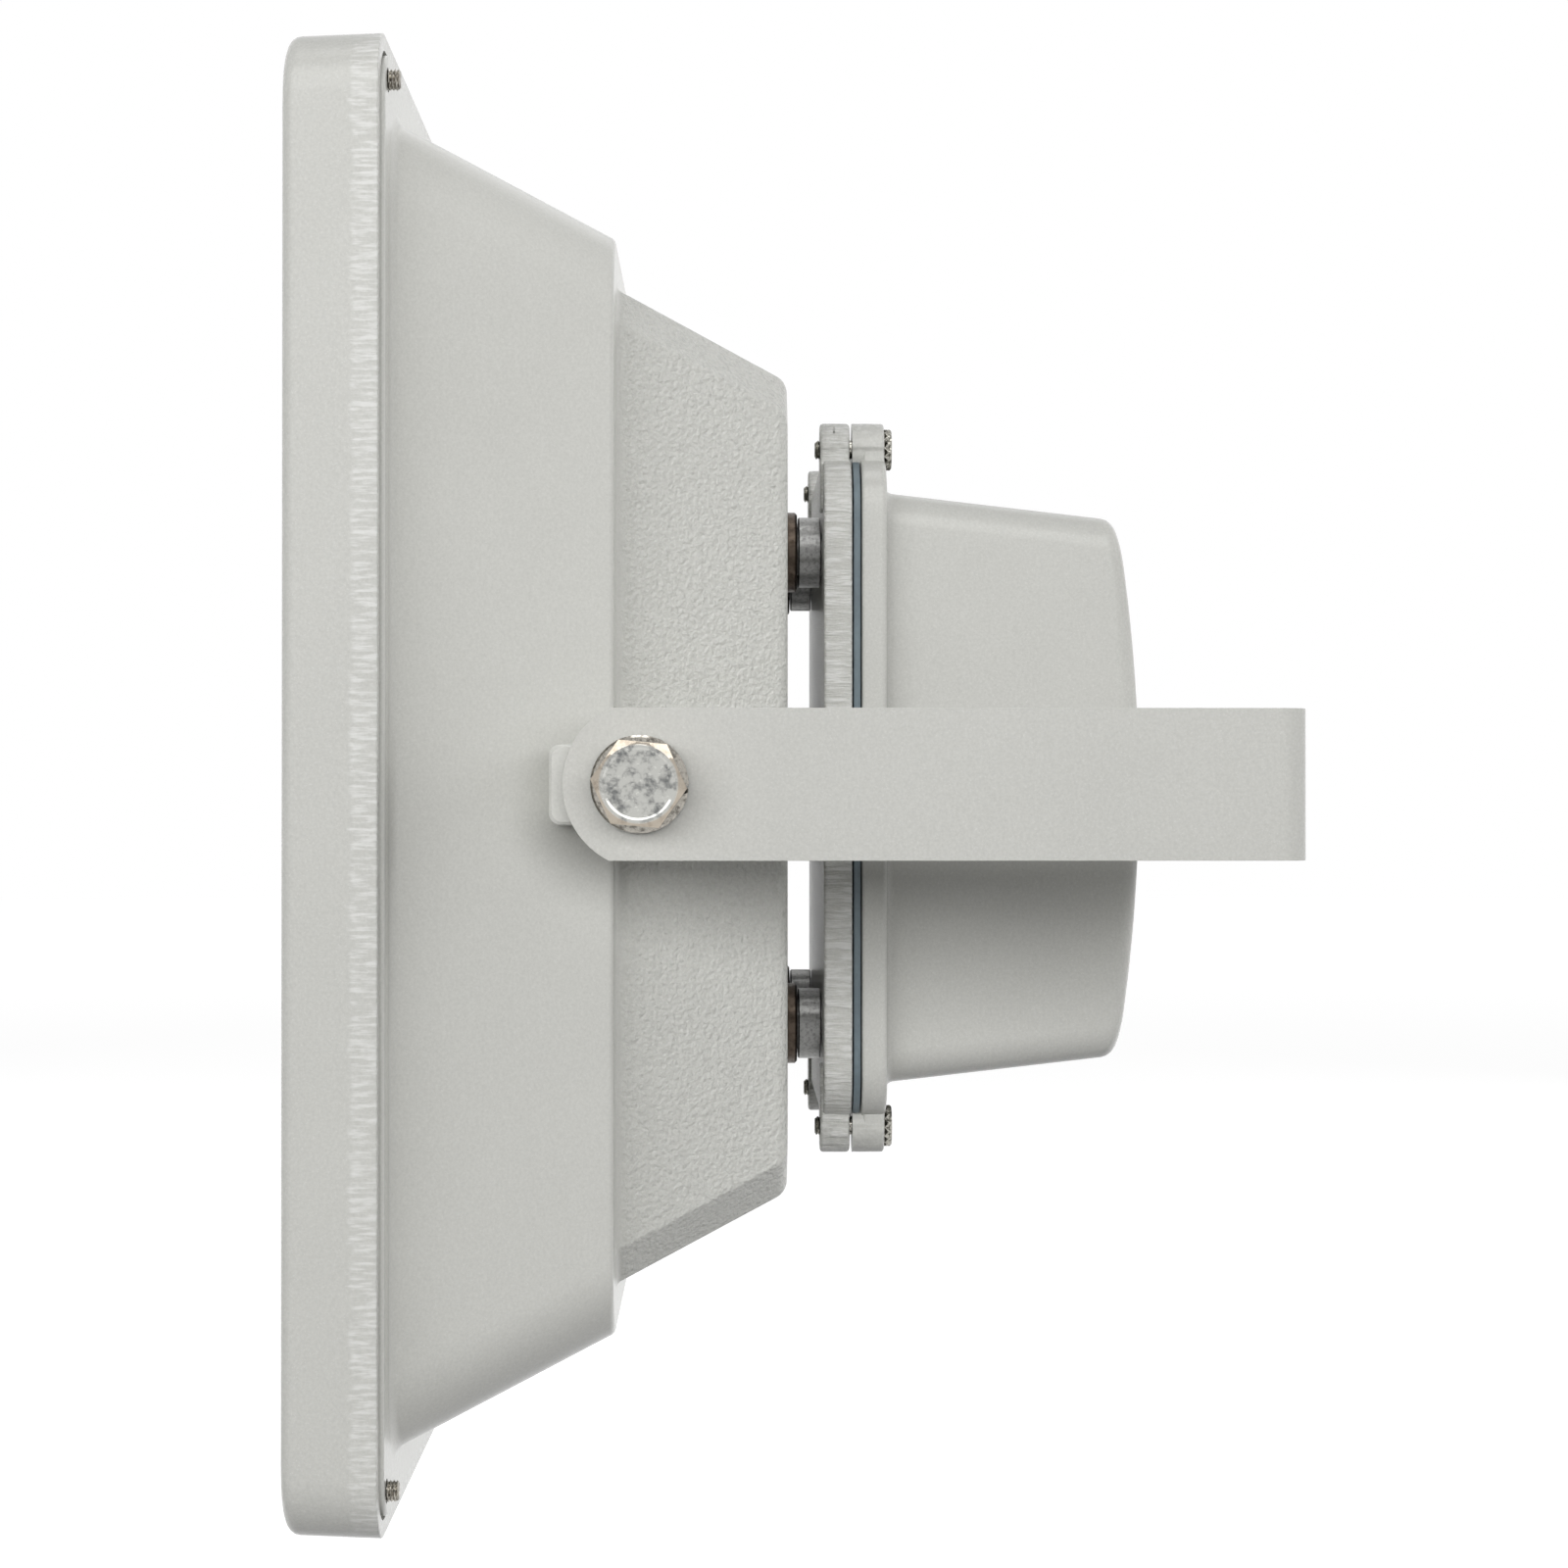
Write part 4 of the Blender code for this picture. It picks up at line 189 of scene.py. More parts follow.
def filleted(profile: Sequence[tuple[float, float, Outline, float]], ring: bool = False) -> list[Row]:
    """A wall profile with its corners rounded.

    Args:
        profile: (station, offset, corner, fillet) of each corner of the wall.
        ring: whether the last corner joins the first.

    Returns:
        (station, offset, corner) rows, the corner insets changing along each fillet.
    """
    count = len(profile)
    rows: list[Row] = []
    for index, (station, offset, corner, fillet) in enumerate(profile):
        if not fillet or not (ring or 0 < index < count - 1):
            rows.append((station, offset, corner))
            continue
        here = Vector((station, offset))
        before, after = profile[index - 1], profile[(index + 1) % count]
        back, ahead = Vector(before[:2]) - here, Vector(after[:2]) - here
        opening = back.angle(ahead)
        run = fillet / math.tan(opening / 2)
        middle = (back.normalized() + ahead.normalized()).normalized()
        centre = here + middle * fillet / math.sin(opening / 2)
        first = here + back.normalized() * run - centre
        last = here + ahead.normalized() * run - centre
        sweep = -first.angle_signed(last)
        corner_in = blend(corner, before[2], run / back.length)
        corner_out = blend(corner, after[2], run / ahead.length)
        for step in range(FILLET_STEPS + 1):
            share = step / FILLET_STEPS
            point = centre + Matrix.Rotation(sweep * share, 2) @ first
            rows.append((point.x, point.y, blend(corner_in, corner_out, share)))
    return rows


def section(
    station: float, half_y: float, half_z: float, corner: Outline, side_steps: int = 1
) -> list[Vector]:
    """A loop of points across the lamp.

    Args:
        station: where the loop lies along the lamp.
        half_y: half its width.
        half_z: half its height.
        corner: the insets of its four corners.
        side_steps: the number of steps down each of its two sides.

    Returns:
        The loop, from its upper far corner round by the top.
    """
    quarter = [(half_y - across, half_z - up) for across, up in corner]
    back = quarter[::-1]
    top = quarter[0][1]
    levels = [top - 2 * top * step / side_steps for step in range(1, side_steps)]
    loop = quarter + [(-y, z) for y, z in back] + [(-half_y, z) for z in levels]
    loop += [(-y, -z) for y, z in quarter] + [(y, -z) for y, z in back] + [(half_y, -z) for z in levels]
    return [Vector((station, y, z)) for y, z in loop]


def sections(
    rows: Iterable[Row], half_y: float = 0, half_z: float = 0, side_steps: int = 1
) -> list[list[Vector]]:
    """Loops of (station, offset, corner) rows, offset from the half sides."""
    return [section(x, half_y + offset, half_z + offset, corner, side_steps) for x, offset, corner in rows]


def rounded(half_y: float, half_z: float, radius: float) -> Outline:
    """A rectangle's outline with round corners."""
    return [(point.y, point.z) for point in section(0, half_y, half_z, round_corner(radius))]


def corners(half_y: float, half_z: float) -> list[Point]:
    """The four corners of a rectangle across the lamp."""
    return [(half_y * y, half_z * z) for y, z in SQUARE]


def rows_between(radius: float, top: float, bottom: float, step: float) -> list[Point]:
    """Profile points down a cylinder, evenly spaced at about a step."""
    count = max(1, round((top - bottom) / step))
    return [(radius, top + (bottom - top) * index / count) for index in range(count + 1)]


def chamfered_ring(inner: float, outer: float, bottom: float, top: float, chamfer: float) -> list[Point]:
    """The profile of a ring whose outer edges are chamfered."""
    return [
        (inner, top),
        (outer - chamfer, top),
        (outer, top - chamfer),
        (outer, bottom + chamfer),
        (outer - chamfer, bottom),
        (inner, bottom),
    ]


def threaded(radius: float, pitch: float, depth: float, ends: Point) -> Relief:
    """A relief that cuts a screw thread between two heights.

    Args:
        radius: the radius that carries the thread; others stay as they are.
        pitch: the thread's pitch.
        depth: how deep it is.
        ends: the lower and upper height of the thread.

    Returns:
        The relief for Solid.turned.
    """

    def relief(angle: float, at_radius: float, height: float) -> float:
        """Radius at one point of the screw."""
        if abs(at_radius - radius) > WELD or not ends[0] <= height <= ends[1]:
            return at_radius
        phase = (height / pitch - angle / math.tau) % 1
        return at_radius - depth * abs(2 * phase - 1)

    return relief


def knurled(radius: float, count: int, depth: float, ends: Point) -> Relief:
    """A relief of crossed ridges round a head, with diamond pits between them.

    Args:
        radius: the radius that carries the ridges.
        count: the number of ridges each way round.
        depth: how deep the pits are.
        ends: the lower and upper height of the knurling.

    Returns:
        The relief for Solid.turned.
    """

    def relief(angle: float, at_radius: float, height: float) -> float:
        """Radius at one point of the head."""
        if abs(at_radius - radius) > WELD or not ends[0] <= height <= ends[1]:
            return at_radius
        along = height / (math.tau * radius) * count
        turn = angle / math.tau * count
        ridge = max(abs(2 * ((turn + way * along) % 1) - 1) for way in (1, -1))
        return at_radius - depth * (1 - ridge) * 2

    return relief


# Solids


class Solid:
    """A closed mesh in the making, shaped by other solids."""

    def __init__(self, bm: bmesh.types.BMesh) -> None:
        """Takes over a bmesh and turns its faces outwards."""
        bm.normal_update()
        bmesh.ops.recalc_face_normals(bm, faces=bm.faces)
        self.mesh = bpy.data.meshes.new("solid")
        bm.to_mesh(self.mesh)
        bm.free()

    @classmethod
    def loft(cls, loops: Sequence[Sequence[Vector]], ring: bool = False) -> "Solid":
        """A solid through loops of equal count.

        Args:
            loops: the loops, each as made by section.
            ring: whether the last loop joins the first; otherwise both ends are closed.

        Returns:
            The solid.
        """
        bm = bmesh.new()
        made = [[bm.verts.new(point) for point in loop] for loop in loops]
        pairs = list(zip(made, made[1:]))
        if ring:
            pairs.append((made[-1], made[0]))
        for loop in [] if ring else (made[0], made[-1]):
            count = len(loop)
            for step in range(count // 2 - 1):
                right, left = CORNER_POINTS - 1 - step, CORNER_POINTS + step
                ends = (right % count, left % count, (left + 1) % count, right - 1)
                bm.faces.new([loop[index] for index in ends])
        for near, far in pairs:
            for index in range(len(near)):
                after = (index + 1) % len(near)
                bm.faces.new((near[index], near[after], far[after], far[index]))
        return cls(bm)

    @classmethod
    def plate(cls, outlines: Iterable[Outline], start: float, end: float, axis: str = "X") -> "Solid":
        """Flat plates, one from each outline.

        Args:
            outlines: the outlines across the axis.
            start: where the plates begin along the axis.
            end: where they end.
            axis: the axis that they are square to.

        Returns:
            The plates as one solid.
        """
        lay = {
            "X": lambda a, b, along: (along, a, b),
            "Y": lambda a, b, along: (a, along, b),
            "Z": lambda a, b, along: (a, b, along),
        }[axis]
        bm = bmesh.new()
        for outline in outlines:
            near, far = ([bm.verts.new(lay(a, b, along)) for a, b in outline] for along in (start, end))
            bm.faces.new(near)
            bm.faces.new(far)
            for index in range(len(outline)):
                after = (index + 1) % len(outline)
                bm.faces.new((near[index], near[after], far[after], far[index]))
        return cls(bm)

    @classmethod
    def bores(
        cls, places: Iterable[Point], diameter: float, start: float, end: float, axis: str = "X"
    ) -> "Solid":
        """Cylinders along an axis, one at each place."""
        return cls.plate([circle(place, diameter) for place in places], start, end, axis)

    @classmethod
    def turned(
        cls,
        profile: Sequence[Point],
        ring: bool = False,
        steps: int = ROUND_STEPS,
        relief: Relief | None = None,
    ) -> "Solid":
        """A solid turned about z.

        Args:
            profile: (radius, height) points down its outer side.
            ring: whether the profile closes on itself; otherwise its ends lie on the axis.
            steps: the number of facets round it.
            relief: the radius to use for an angle, a radius and a height.

        Returns:
            The solid.
        """
        bm = bmesh.new()
        loops = []
        for radius, height in profile:
            if radius < WELD:
                loops.append([bm.verts.new((0, 0, height))] * steps)
                continue
            loop = []
            for step in range(steps):
                angle = math.tau * step / steps
                reach = relief(angle, radius, height) if relief else radius
                loop.append(bm.verts.new((reach * math.cos(angle), reach * math.sin(angle), height)))
            loops.append(loop)
        pairs = list(zip(loops, loops[1:])) + ([(loops[-1], loops[0])] if ring else [])
        for upper, lower in pairs:
            for step in range(steps):
                after = (step + 1) % steps
                around = [upper[step], upper[after], lower[after], lower[step]]
                bm.faces.new(list(dict.fromkeys(around)))
        return cls(bm)

    @classmethod
    def boxes(cls, spans: Iterable[tuple[Sequence[float], Sequence[float]]]) -> "Solid":
        """Boxes, each from its low to its high corner."""
        bm = bmesh.new()
        for low, high in spans:
            made = bmesh.ops.create_cube(bm, size=1)["verts"]
            bmesh.ops.scale(bm, verts=made, vec=Vector(high) - Vector(low))
            bmesh.ops.translate(bm, verts=made, vec=(Vector(high) + Vector(low)) / 2)
        return cls(bm)

    def _worked(self, prepare: Callable[[bpy.types.Object], None]) -> "Solid":
        """Replaces the mesh by what an object's modifiers make of it."""
        work = bpy.data.objects.new("work", self.mesh)
        bpy.context.scene.collection.objects.link(work)
        prepare(work)
        bpy.context.view_layer.update()
        graph = bpy.context.evaluated_depsgraph_get()
        self.mesh = bpy.data.meshes.new_from_object(work.evaluated_get(graph))
        bpy.data.objects.remove(work, do_unlink=True)
        return self

    def combine(self, operation: Operation, *tools: "Solid") -> "Solid":
        """Shapes this solid by others, one after another, and returns it."""
        for tool in tools:
            helper = bpy.data.objects.new("helper", tool.mesh)
            bpy.context.scene.collection.objects.link(helper)

            def prepare(work: bpy.types.Object, helper: bpy.types.Object = helper) -> None:
                """Gives the work object a Boolean with the helper."""
                modifier = work.modifiers.new("shape", "BOOLEAN")
                modifier.operation = operation.value
                modifier.solver = "EXACT"
                modifier.object = helper

            self._worked(prepare)
            bpy.data.objects.remove(helper, do_unlink=True)
        return self

    def softened(self, width: float, segments: int = 3, angle: float = 50) -> "Solid":
        """Rounds the edges that are sharper than an angle in degrees, and returns the solid."""

        def prepare(work: bpy.types.Object) -> None:
            """Gives the work object a bevel."""
            modifier = work.modifiers.new("soften", "BEVEL")
            modifier.width = width
            modifier.segments = segments
            modifier.limit_method = "ANGLE"
            modifier.angle_limit = math.radians(angle)

        return self._worked(prepare)

    def moved(self, *places: Matrix) -> "Solid":
        """A solid that holds a copy of this one at each place."""
        bm = bmesh.new()
        for place in places:
            copy = self.mesh.copy()
            copy.transform(place)
            bm.from_mesh(copy)
            bpy.data.meshes.remove(copy)
        return Solid(bm)


# Node graphs


def grey(tone: float) -> Colour:
    """An opaque grey."""
    return (tone, tone, tone, 1)


class Signal:
    """A value socket on which Python's arithmetic adds Math nodes."""

    def __init__(self, graph: "Graph", socket: bpy.types.NodeSocket) -> None:
        """Wraps an output socket of a graph."""
        self.graph = graph
        self.socket = socket

    def _math(self, operation: str, *operands: "Signal | float") -> "Signal":
        """One Math node with the operands in order."""
        node = self.graph.add("ShaderNodeMath", {"operation": operation}, dict(enumerate(operands)))
        return Signal(self.graph, node.outputs[0])

    def __add__(self, other: "Signal | float") -> "Signal":
        """Sum."""
        return self._math("ADD", self, other)

    __radd__ = __add__

    def __sub__(self, other: "Signal | float") -> "Signal":
        """Difference."""
        return self._math("SUBTRACT", self, other)

    def __rsub__(self, other: float) -> "Signal":
        """Difference from a number."""
        return self._math("SUBTRACT", other, self)

    def __mul__(self, other: "Signal | float") -> "Signal":
        """Product."""
        return self._math("MULTIPLY", self, other)

    __rmul__ = __mul__

    def __truediv__(self, other: "Signal | float") -> "Signal":
        """Quotient."""
        return self._math("DIVIDE", self, other)

    def __rtruediv__(self, other: float) -> "Signal":
        """Quotient of a number."""
        return self._math("DIVIDE", other, self)

    def __pow__(self, other: "Signal | float") -> "Signal":
        """Power."""
        return self._math("POWER", self, other)

    def __rpow__(self, other: float) -> "Signal":
        """Power of a number."""
        return self._math("POWER", other, self)

    def __abs__(self) -> "Signal":
        """Size without its sign."""
        return self._math("ABSOLUTE", self)

    def wave(self) -> "Signal":
        """A triangle wave of this value, from 0 to 1 and back once per unit."""
        return self._math("PINGPONG", self, 0.5) * 2

    def step(self, low: float, high: float) -> "Signal":
        """A soft step from 0 at one value to 1 at another."""
        node = self.graph.add(
            "ShaderNodeMapRange",
            {"interpolation_type": "SMOOTHSTEP", "clamp": True},
            {"Value": self, "From Min": low, "From Max": high},
        )
        return Signal(self.graph, node.outputs[0])


class Graph:
    """The node tree of a material or of the world."""

    def __init__(self, tree: bpy.types.NodeTree, output: str) -> None:
        """Clears the tree and adds its output node."""
        self.tree = tree
        tree.nodes.clear()
        self.output = tree.nodes.new(output)

    def add(
        self,
        kind: str,
        settings: Mapping[str, Any] | None = None,
        inputs: Mapping[str | int, Any] | None = None,
    ) -> bpy.types.Node:
        """Adds any node.

        Args:
            kind: the node's type.
            settings: its properties, set first.
            inputs: numbers, colours, sockets or signals for its sockets, by name or index.

        Returns:
            The node.
        """
        node = self.tree.nodes.new(kind)
        for name, value in (settings or {}).items():
            setattr(node, name, value)
        for key, value in (inputs or {}).items():
            if isinstance(value, Signal):
                value = value.socket
            if isinstance(value, bpy.types.NodeSocket):
                self.tree.links.new(value, node.inputs[key])
            else:
                node.inputs[key].default_value = value
        return node

    def finish(self, node: bpy.types.Node) -> None:
        """Joins a shader node to the output."""
        self.tree.links.new(node.outputs[0], self.output.inputs["Surface"])

    def place(self, stretch: Triple = (1, 1, 1)) -> bpy.types.NodeSocket:
        """The piece's own coordinates in metres, stretched along each axis."""
        inputs = {0: self.add("ShaderNodeTexCoord").outputs["Object"], 1: stretch}
        return self.add("ShaderNodeVectorMath", {"operation": "MULTIPLY"}, inputs).outputs[0]

    def axes(self) -> list[Signal]:
        """The piece's own x, y and z as signals."""
        node = self.add("ShaderNodeSeparateXYZ", None, {0: self.place()})
        return [Signal(self, socket) for socket in node.outputs]

    def noise(
        self, scale: float, detail: float = 2, stretch: Triple = (1, 1, 1), rough: float = 0.5
    ) -> Signal:
        """Soft noise from 0 to 1, with so many waves to a metre."""
        inputs = {"Vector": self.place(stretch), "Scale": scale, "Detail": detail, "Roughness": rough}
        return Signal(self, self.add("ShaderNodeTexNoise", None, inputs).outputs[0])

    def flakes(self, scale: float) -> Signal:
        """A value from 0 to 1 that is the same all over each small cell."""
        cells = self.add("ShaderNodeTexVoronoi", None, {"Vector": self.place(), "Scale": scale})
        split = self.add("ShaderNodeSeparateColor", None, {0: cells.outputs["Color"]})
        return Signal(self, split.outputs[0])

    def mix(self, factor: Signal, first: Any, second: Any) -> bpy.types.NodeSocket:
        """A colour between two colours or colour sockets."""
        inputs = {0: factor, 6: first, 7: second}
        return self.add("ShaderNodeMix", {"data_type": "RGBA"}, inputs).outputs[2]

    def bump(self, height: Signal) -> bpy.types.NodeSocket:
        """A normal from a height in metres."""
        return self.add("ShaderNodeBump", None, {"Height": height, "Distance": 1.0}).outputs[0]

    def principled(self, **inputs: Any) -> None:
        """Ends the graph in a Principled shader; a socket's spaces are written as underscores."""
        named = {name.replace("_", " "): value for name, value in inputs.items()}
        self.finish(self.add("ShaderNodeBsdfPrincipled", None, named))


# Finishes


@dataclass(frozen=True)
class Finish:
    """A material of the light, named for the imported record's slot that it dresses."""

    name: str
    slot: str

    def paint(self, graph: Graph) -> None:
        """Fills the material's graph."""
        raise NotImplementedError

    def material(self) -> bpy.types.Material:
        """The material, made when it is first asked for."""
        found = bpy.data.materials.get(self.name)
        if found is None:
            found = bpy.data.materials.new(self.name)
            found.use_nodes = True
            self.paint(Graph(found.node_tree, "ShaderNodeOutputMaterial"))
        return found


@dataclass(frozen=True)
class PowderCoat(Finish):
    """Semi-gloss powder coat with flakes and orange peel, over filed or cast metal.

    A scale is so many waves or cells to a metre. The casting's grain shows behind
    cast_from, and file marks along the lamp show behind filed_from, their relief real and
    their lighter streaks a painted highlight. Further from the middle than wavy_above, the coat is uneven.
    """

    slot: str = "powder_coat"
    light: Colour = (0.63, 0.63, 0.597, 1)
    dark: Colour = (0.47, 0.47, 0.443, 1)
    # Colour of the coat's flakes, and of the painted highlight along the file marks
    flake_and_highlight: Colour = (0.72, 0.72, 0.70, 1)
    gloss: float = 0.18
    specular: float = 0.4
    cloud_scale: float = 26
    cloud_share: float = 0.3
    speck_scale: float = 1500
    flake_scale: float = 4200
    peel: float = 0.00005
    peel_scale: float = 620
    fade: float = 0.003
    cast: float = 0.0
    cast_from: float = 0.0
    cast_scale: float = 820
    filed_from: float | None = None
    file_depth: float = 0.00006
    file_scales: Triple = (130, 900, 1000)
    ragged: float = 0.004
    ragged_scales: Triple = (30, 420, 420)
    wavy_above: float = 0.0
    wave_depth: float = 0.0012
    wave_scale: float = 260

    def paint(self, graph: Graph) -> None:
        """Tone, flakes, peel, and the marks that show through the coat, the file marks lighter in streaks as
        a painted highlight.
        """
        cloud = graph.noise(self.cloud_scale, 3)
        glint = graph.flakes(self.flake_scale).step(0.90, 1.0)
        speck = graph.noise(self.speck_scale, 1)
        height = graph.noise(self.peel_scale, 2) * self.peel
        tone = cloud * self.cloud_share + speck * (1 - self.cloud_share)
        colour = graph.mix(tone, self.dark, self.light)
        rough = self.gloss + speck * 0.06 - glint * 0.04
        station, _, up = graph.axes()
        if self.cast:
            reach = (station - self.cast_from).step(0, self.fade)
            grain = graph.noise(self.cast_scale, 2)
            height = height + grain * reach * self.cast
            colour = graph.mix(reach * (grain - 0.46).step(0, 0.25) * 0.5, colour, self.dark)
        if self.filed_from is not None:
            ragged = graph.noise(1, 2, self.ragged_scales) * self.ragged
            begin = (station + ragged - self.filed_from).step(self.fade / 2, self.fade)
            marks = graph.noise(1, 3, self.file_scales, 0.6)
            height = height + marks * begin * self.file_depth
            # The lighter streaks along the file marks are painted highlight
            colour = graph.mix(begin * (marks - 0.42).step(0, 0.25) * 0.9, colour, self.flake_and_highlight)
        if self.wavy_above:
            ear = (abs(up) - self.wavy_above).step(0, self.fade / 2)
            height = height + graph.noise(self.wave_scale, 2) * ear * self.wave_depth
        colour = graph.mix(glint * 0.3, colour, self.flake_and_highlight)
        graph.principled(
            Base_Color=colour,
            Roughness=rough,
            Metallic=0.0,
            Specular_IOR_Level=self.specular,
            Normal=graph.bump(height),
        )


@dataclass(frozen=True)
class Metal(Finish):
    """Bare or plated metal, mottled by handling and storage.

    The warm colour shows outside warm_from, measured from the piece's own z axis.
    """

    light: Colour = (0.50, 0.50, 0.47, 1)
    dark: Colour = (0.22, 0.225, 0.22, 1)
    warm: Colour = (0.40, 0.33, 0.25, 1)
    warm_from: float = 1.0
    warm_fade: float = 0.0006
    smooth: float = 0.16
    rough: float = 0.34
    mottle: float = 420
    sparks: float = 5
    pits: float = 0.00002
    grain: Triple = (1, 1, 1)

    def paint(self, graph: Graph) -> None:
        """Mottling in colour and gloss, pits, and warmer colour away from the axis."""
        cloud = graph.noise(self.mottle, 4, self.grain, 0.62)
        stain = (cloud - 0.42).step(0, 0.28)
        spark = graph.flakes(self.mottle * self.sparks).step(0.86, 1.0)
        across, up, _ = graph.axes()
        reach = (across * across + up * up) ** 0.5
        warmth = (reach - self.warm_from).step(0, self.warm_fade)
        colour = graph.mix(stain, self.light, self.dark)
        colour = graph.mix(spark * 0.5, colour, self.light)
        colour = graph.mix(warmth * 0.7, colour, self.warm)
        rough = self.smooth + stain * (self.rough - self.smooth)
        height = (cloud + spark * 0.6) * self.pits
        graph.principled(Base_Color=colour, Roughness=rough, Metallic=1.0, Normal=graph.bump(height))


@dataclass(frozen=True)
class Moulded(Finish):
    """Rubber or plastic with a fine moulded grain."""

    colour: Colour = (0.5, 0.5, 0.5, 1)
    shade: Colour = (0.4, 0.4, 0.4, 1)
    gloss: float = 0.5
    grain: float = 900
    depth: float = 0.00002

    def paint(self, graph: Graph) -> None:
        """Grain, with a soft change of tone."""
        grain = graph.noise(self.grain, 3)
        tone = graph.noise(60, 2) * 0.6 + grain * 0.4
        colour = graph.mix((tone - 0.35).step(0, 0.3), self.shade, self.colour)
        rough = self.gloss + (grain - 0.5) * 0.2
        graph.principled(Base_Color=colour, Roughness=rough, Normal=graph.bump(grain * self.depth))


@dataclass(frozen=True)
class Clear(Finish):
    """Glass or clear plastic with a faint bloom of dust."""

    colour: Colour = (0.95, 0.98, 0.97, 1)
    ior: float = 1.5
    haze: float = 0.04

    def paint(self, graph: Graph) -> None:
        """Gloss that the bloom dulls a little."""
        bloom = graph.noise(18, 4)
        graph.principled(
            Base_Color=self.colour,
            Roughness=0.01 + (bloom - 0.4).step(0, 0.4) * self.haze,
            IOR=self.ior,
            Transmission_Weight=1.0,
        )


@dataclass(frozen=True)
class BoardMask(Finish):
    """White solder mask over copper tracks that link the chips in rows."""

    slot: str = "board_mask"
    mask: Colour = (0.83, 0.84, 0.82, 1)
    track: Colour = (0.72, 0.74, 0.71, 1)
    raised: float = 0.00004
    grain_depth: float = 0.000004

    def paint(self, graph: Graph) -> None:
        """Tracks as broad raised bands, under an even white coat."""
        _, across, up = graph.axes()
        row = 1 - abs(up / CHIP_PITCH).wave()
        link = 1 - abs(across / CHIP_PITCH).wave()
        band = (row - 0.86).step(0, 0.02)
        edge = band * (1 - (link - 0.06).step(0, 0.02) * 0.4)
        grain = graph.noise(1800, 2)
        colour = graph.mix(edge, self.mask, self.track)
        height = edge * self.raised + grain * self.grain_depth
        graph.principled(Base_Color=colour, Roughness=0.30 + grain * 0.12, Normal=graph.bump(height))


@dataclass(frozen=True)
class Phosphor(Finish):
    """The chips' yellow phosphor under clear resin."""

    slot: str = "board_mask"
    deep: Colour = (0.86, 0.60, 0.10, 1)
    pale: Colour = (0.93, 0.74, 0.22, 1)

    def paint(self, graph: Graph) -> None:
        """Yellow with a fine grain, glossy on top."""
        grain = graph.noise(2600, 2)
        graph.principled(
            Base_Color=graph.mix(grain, self.deep, self.pale),
            Roughness=0.22 + grain * 0.1,
            Coat_Weight=0.6,
            Coat_Roughness=0.08,
        )


STRIP_COAT = PowderCoat("coat_on_strip")
# The housing's coat is the same powder coat painted lighter, as painted light: it makes up for the key light
# that the housing's back-tilted walls miss
CASTING_COAT_PAINTED_LIGHTER = PowderCoat(
    "coat_on_casting_painted_lighter",
    light=(0.67, 0.67, 0.635, 1),
    dark=(0.505, 0.505, 0.476, 1),
    cast=0.0008,
    cast_from=-0.0068,
)
DOOR_COAT = PowderCoat("coat_on_door", filed_from=-0.0650, peel=0.00009)
BASE_COAT = PowderCoat("coat_on_base", filed_from=0.0405, file_depth=0.0007, wavy_above=EARS_FROM)
COVER_COAT = PowderCoat("coat_on_cover", wavy_above=EARS_FROM)
BOLT_STEEL = Metal(
    "bolt_steel",
    "bright_steel",
    light=(0.54, 0.54, 0.51, 1),
    dark=(0.15, 0.155, 0.155, 1),
    warm_from=0.0086,
    smooth=0.07,
    rough=0.15,
    mottle=330,
    pits=0.00003,
)
SCREW_STEEL = Metal(
    "screw_steel",
    "bright_steel",
    light=(0.40, 0.38, 0.34, 1),
    dark=(0.14, 0.13, 0.115, 1),
    smooth=0.1,
    rough=0.28,
    mottle=900,
)
PILLAR_STEEL = Metal(
    "pillar_steel",
    "powder_coat",
    light=(0.235, 0.235, 0.228, 1),
    dark=(0.155, 0.155, 0.151, 1),
    smooth=0.3,
    rough=0.38,
    mottle=1300,
    pits=0.000012,
)
RING_STEEL = Metal(
    "ring_steel",
    "powder_coat",
    light=(0.10, 0.09, 0.078, 1),
    dark=(0.04, 0.036, 0.031, 1),
    warm=(0.085, 0.062, 0.046, 1),
    warm_from=0.0094,
    smooth=0.3,
    rough=0.5,
    mottle=800,
    pits=0.00006,
)
KNURL_STEEL = Metal(
    "knurl_steel",
    "dark_steel",
    light=(0.40, 0.39, 0.35, 1),
    dark=(0.035, 0.034, 0.03, 1),
    smooth=0.12,
    rough=0.4,
    mottle=1100,
)
NICKEL = Metal(
    "nickel_plate",
    "nickel",
    light=(0.76, 0.72, 0.64, 1),
    dark=(0.58, 0.54, 0.47, 1),
    mottle=160,
)
BRIGHT_SHEET = Metal(
    "mirror_sheet",
    "bright_aluminium",
    light=(0.90, 0.91, 0.92, 1),
    dark=(0.82, 0.83, 0.84, 1),
    smooth=0.08,
    rough=0.2,
    mottle=90,
    pits=0.000008,
)
MILLED = Metal(
    "mill_aluminium",
    "plain_aluminium",
    light=(0.74, 0.75, 0.76, 1),
    dark=(0.60, 0.61, 0.62, 1),
    smooth=0.28,
    rough=0.46,
    mottle=60,
    pits=0.00001,
    grain=(4, 1, 12),
)
BLUE_RUBBER = Moulded(
    "blue_gasket",
    "blue_rubber",
    colour=(0.13, 0.17, 0.19, 1),
    shade=(0.10, 0.13, 0.15, 1),
    gloss=0.42,
    grain=700,
    depth=0.00003,
)
SILICONE = Moulded("white_gasket", "white_silicone", (0.78, 0.78, 0.76, 1), (0.70, 0.70, 0.68, 1))
JACKET = Moulded("black_jacket", "lead_jacket", (0.035, 0.035, 0.036, 1), (0.022, 0.022, 0.023, 1))
NYLON = Moulded("pale_nylon", "terminal_nylon", (0.74, 0.72, 0.66, 1), (0.66, 0.64, 0.58, 1), 0.42)
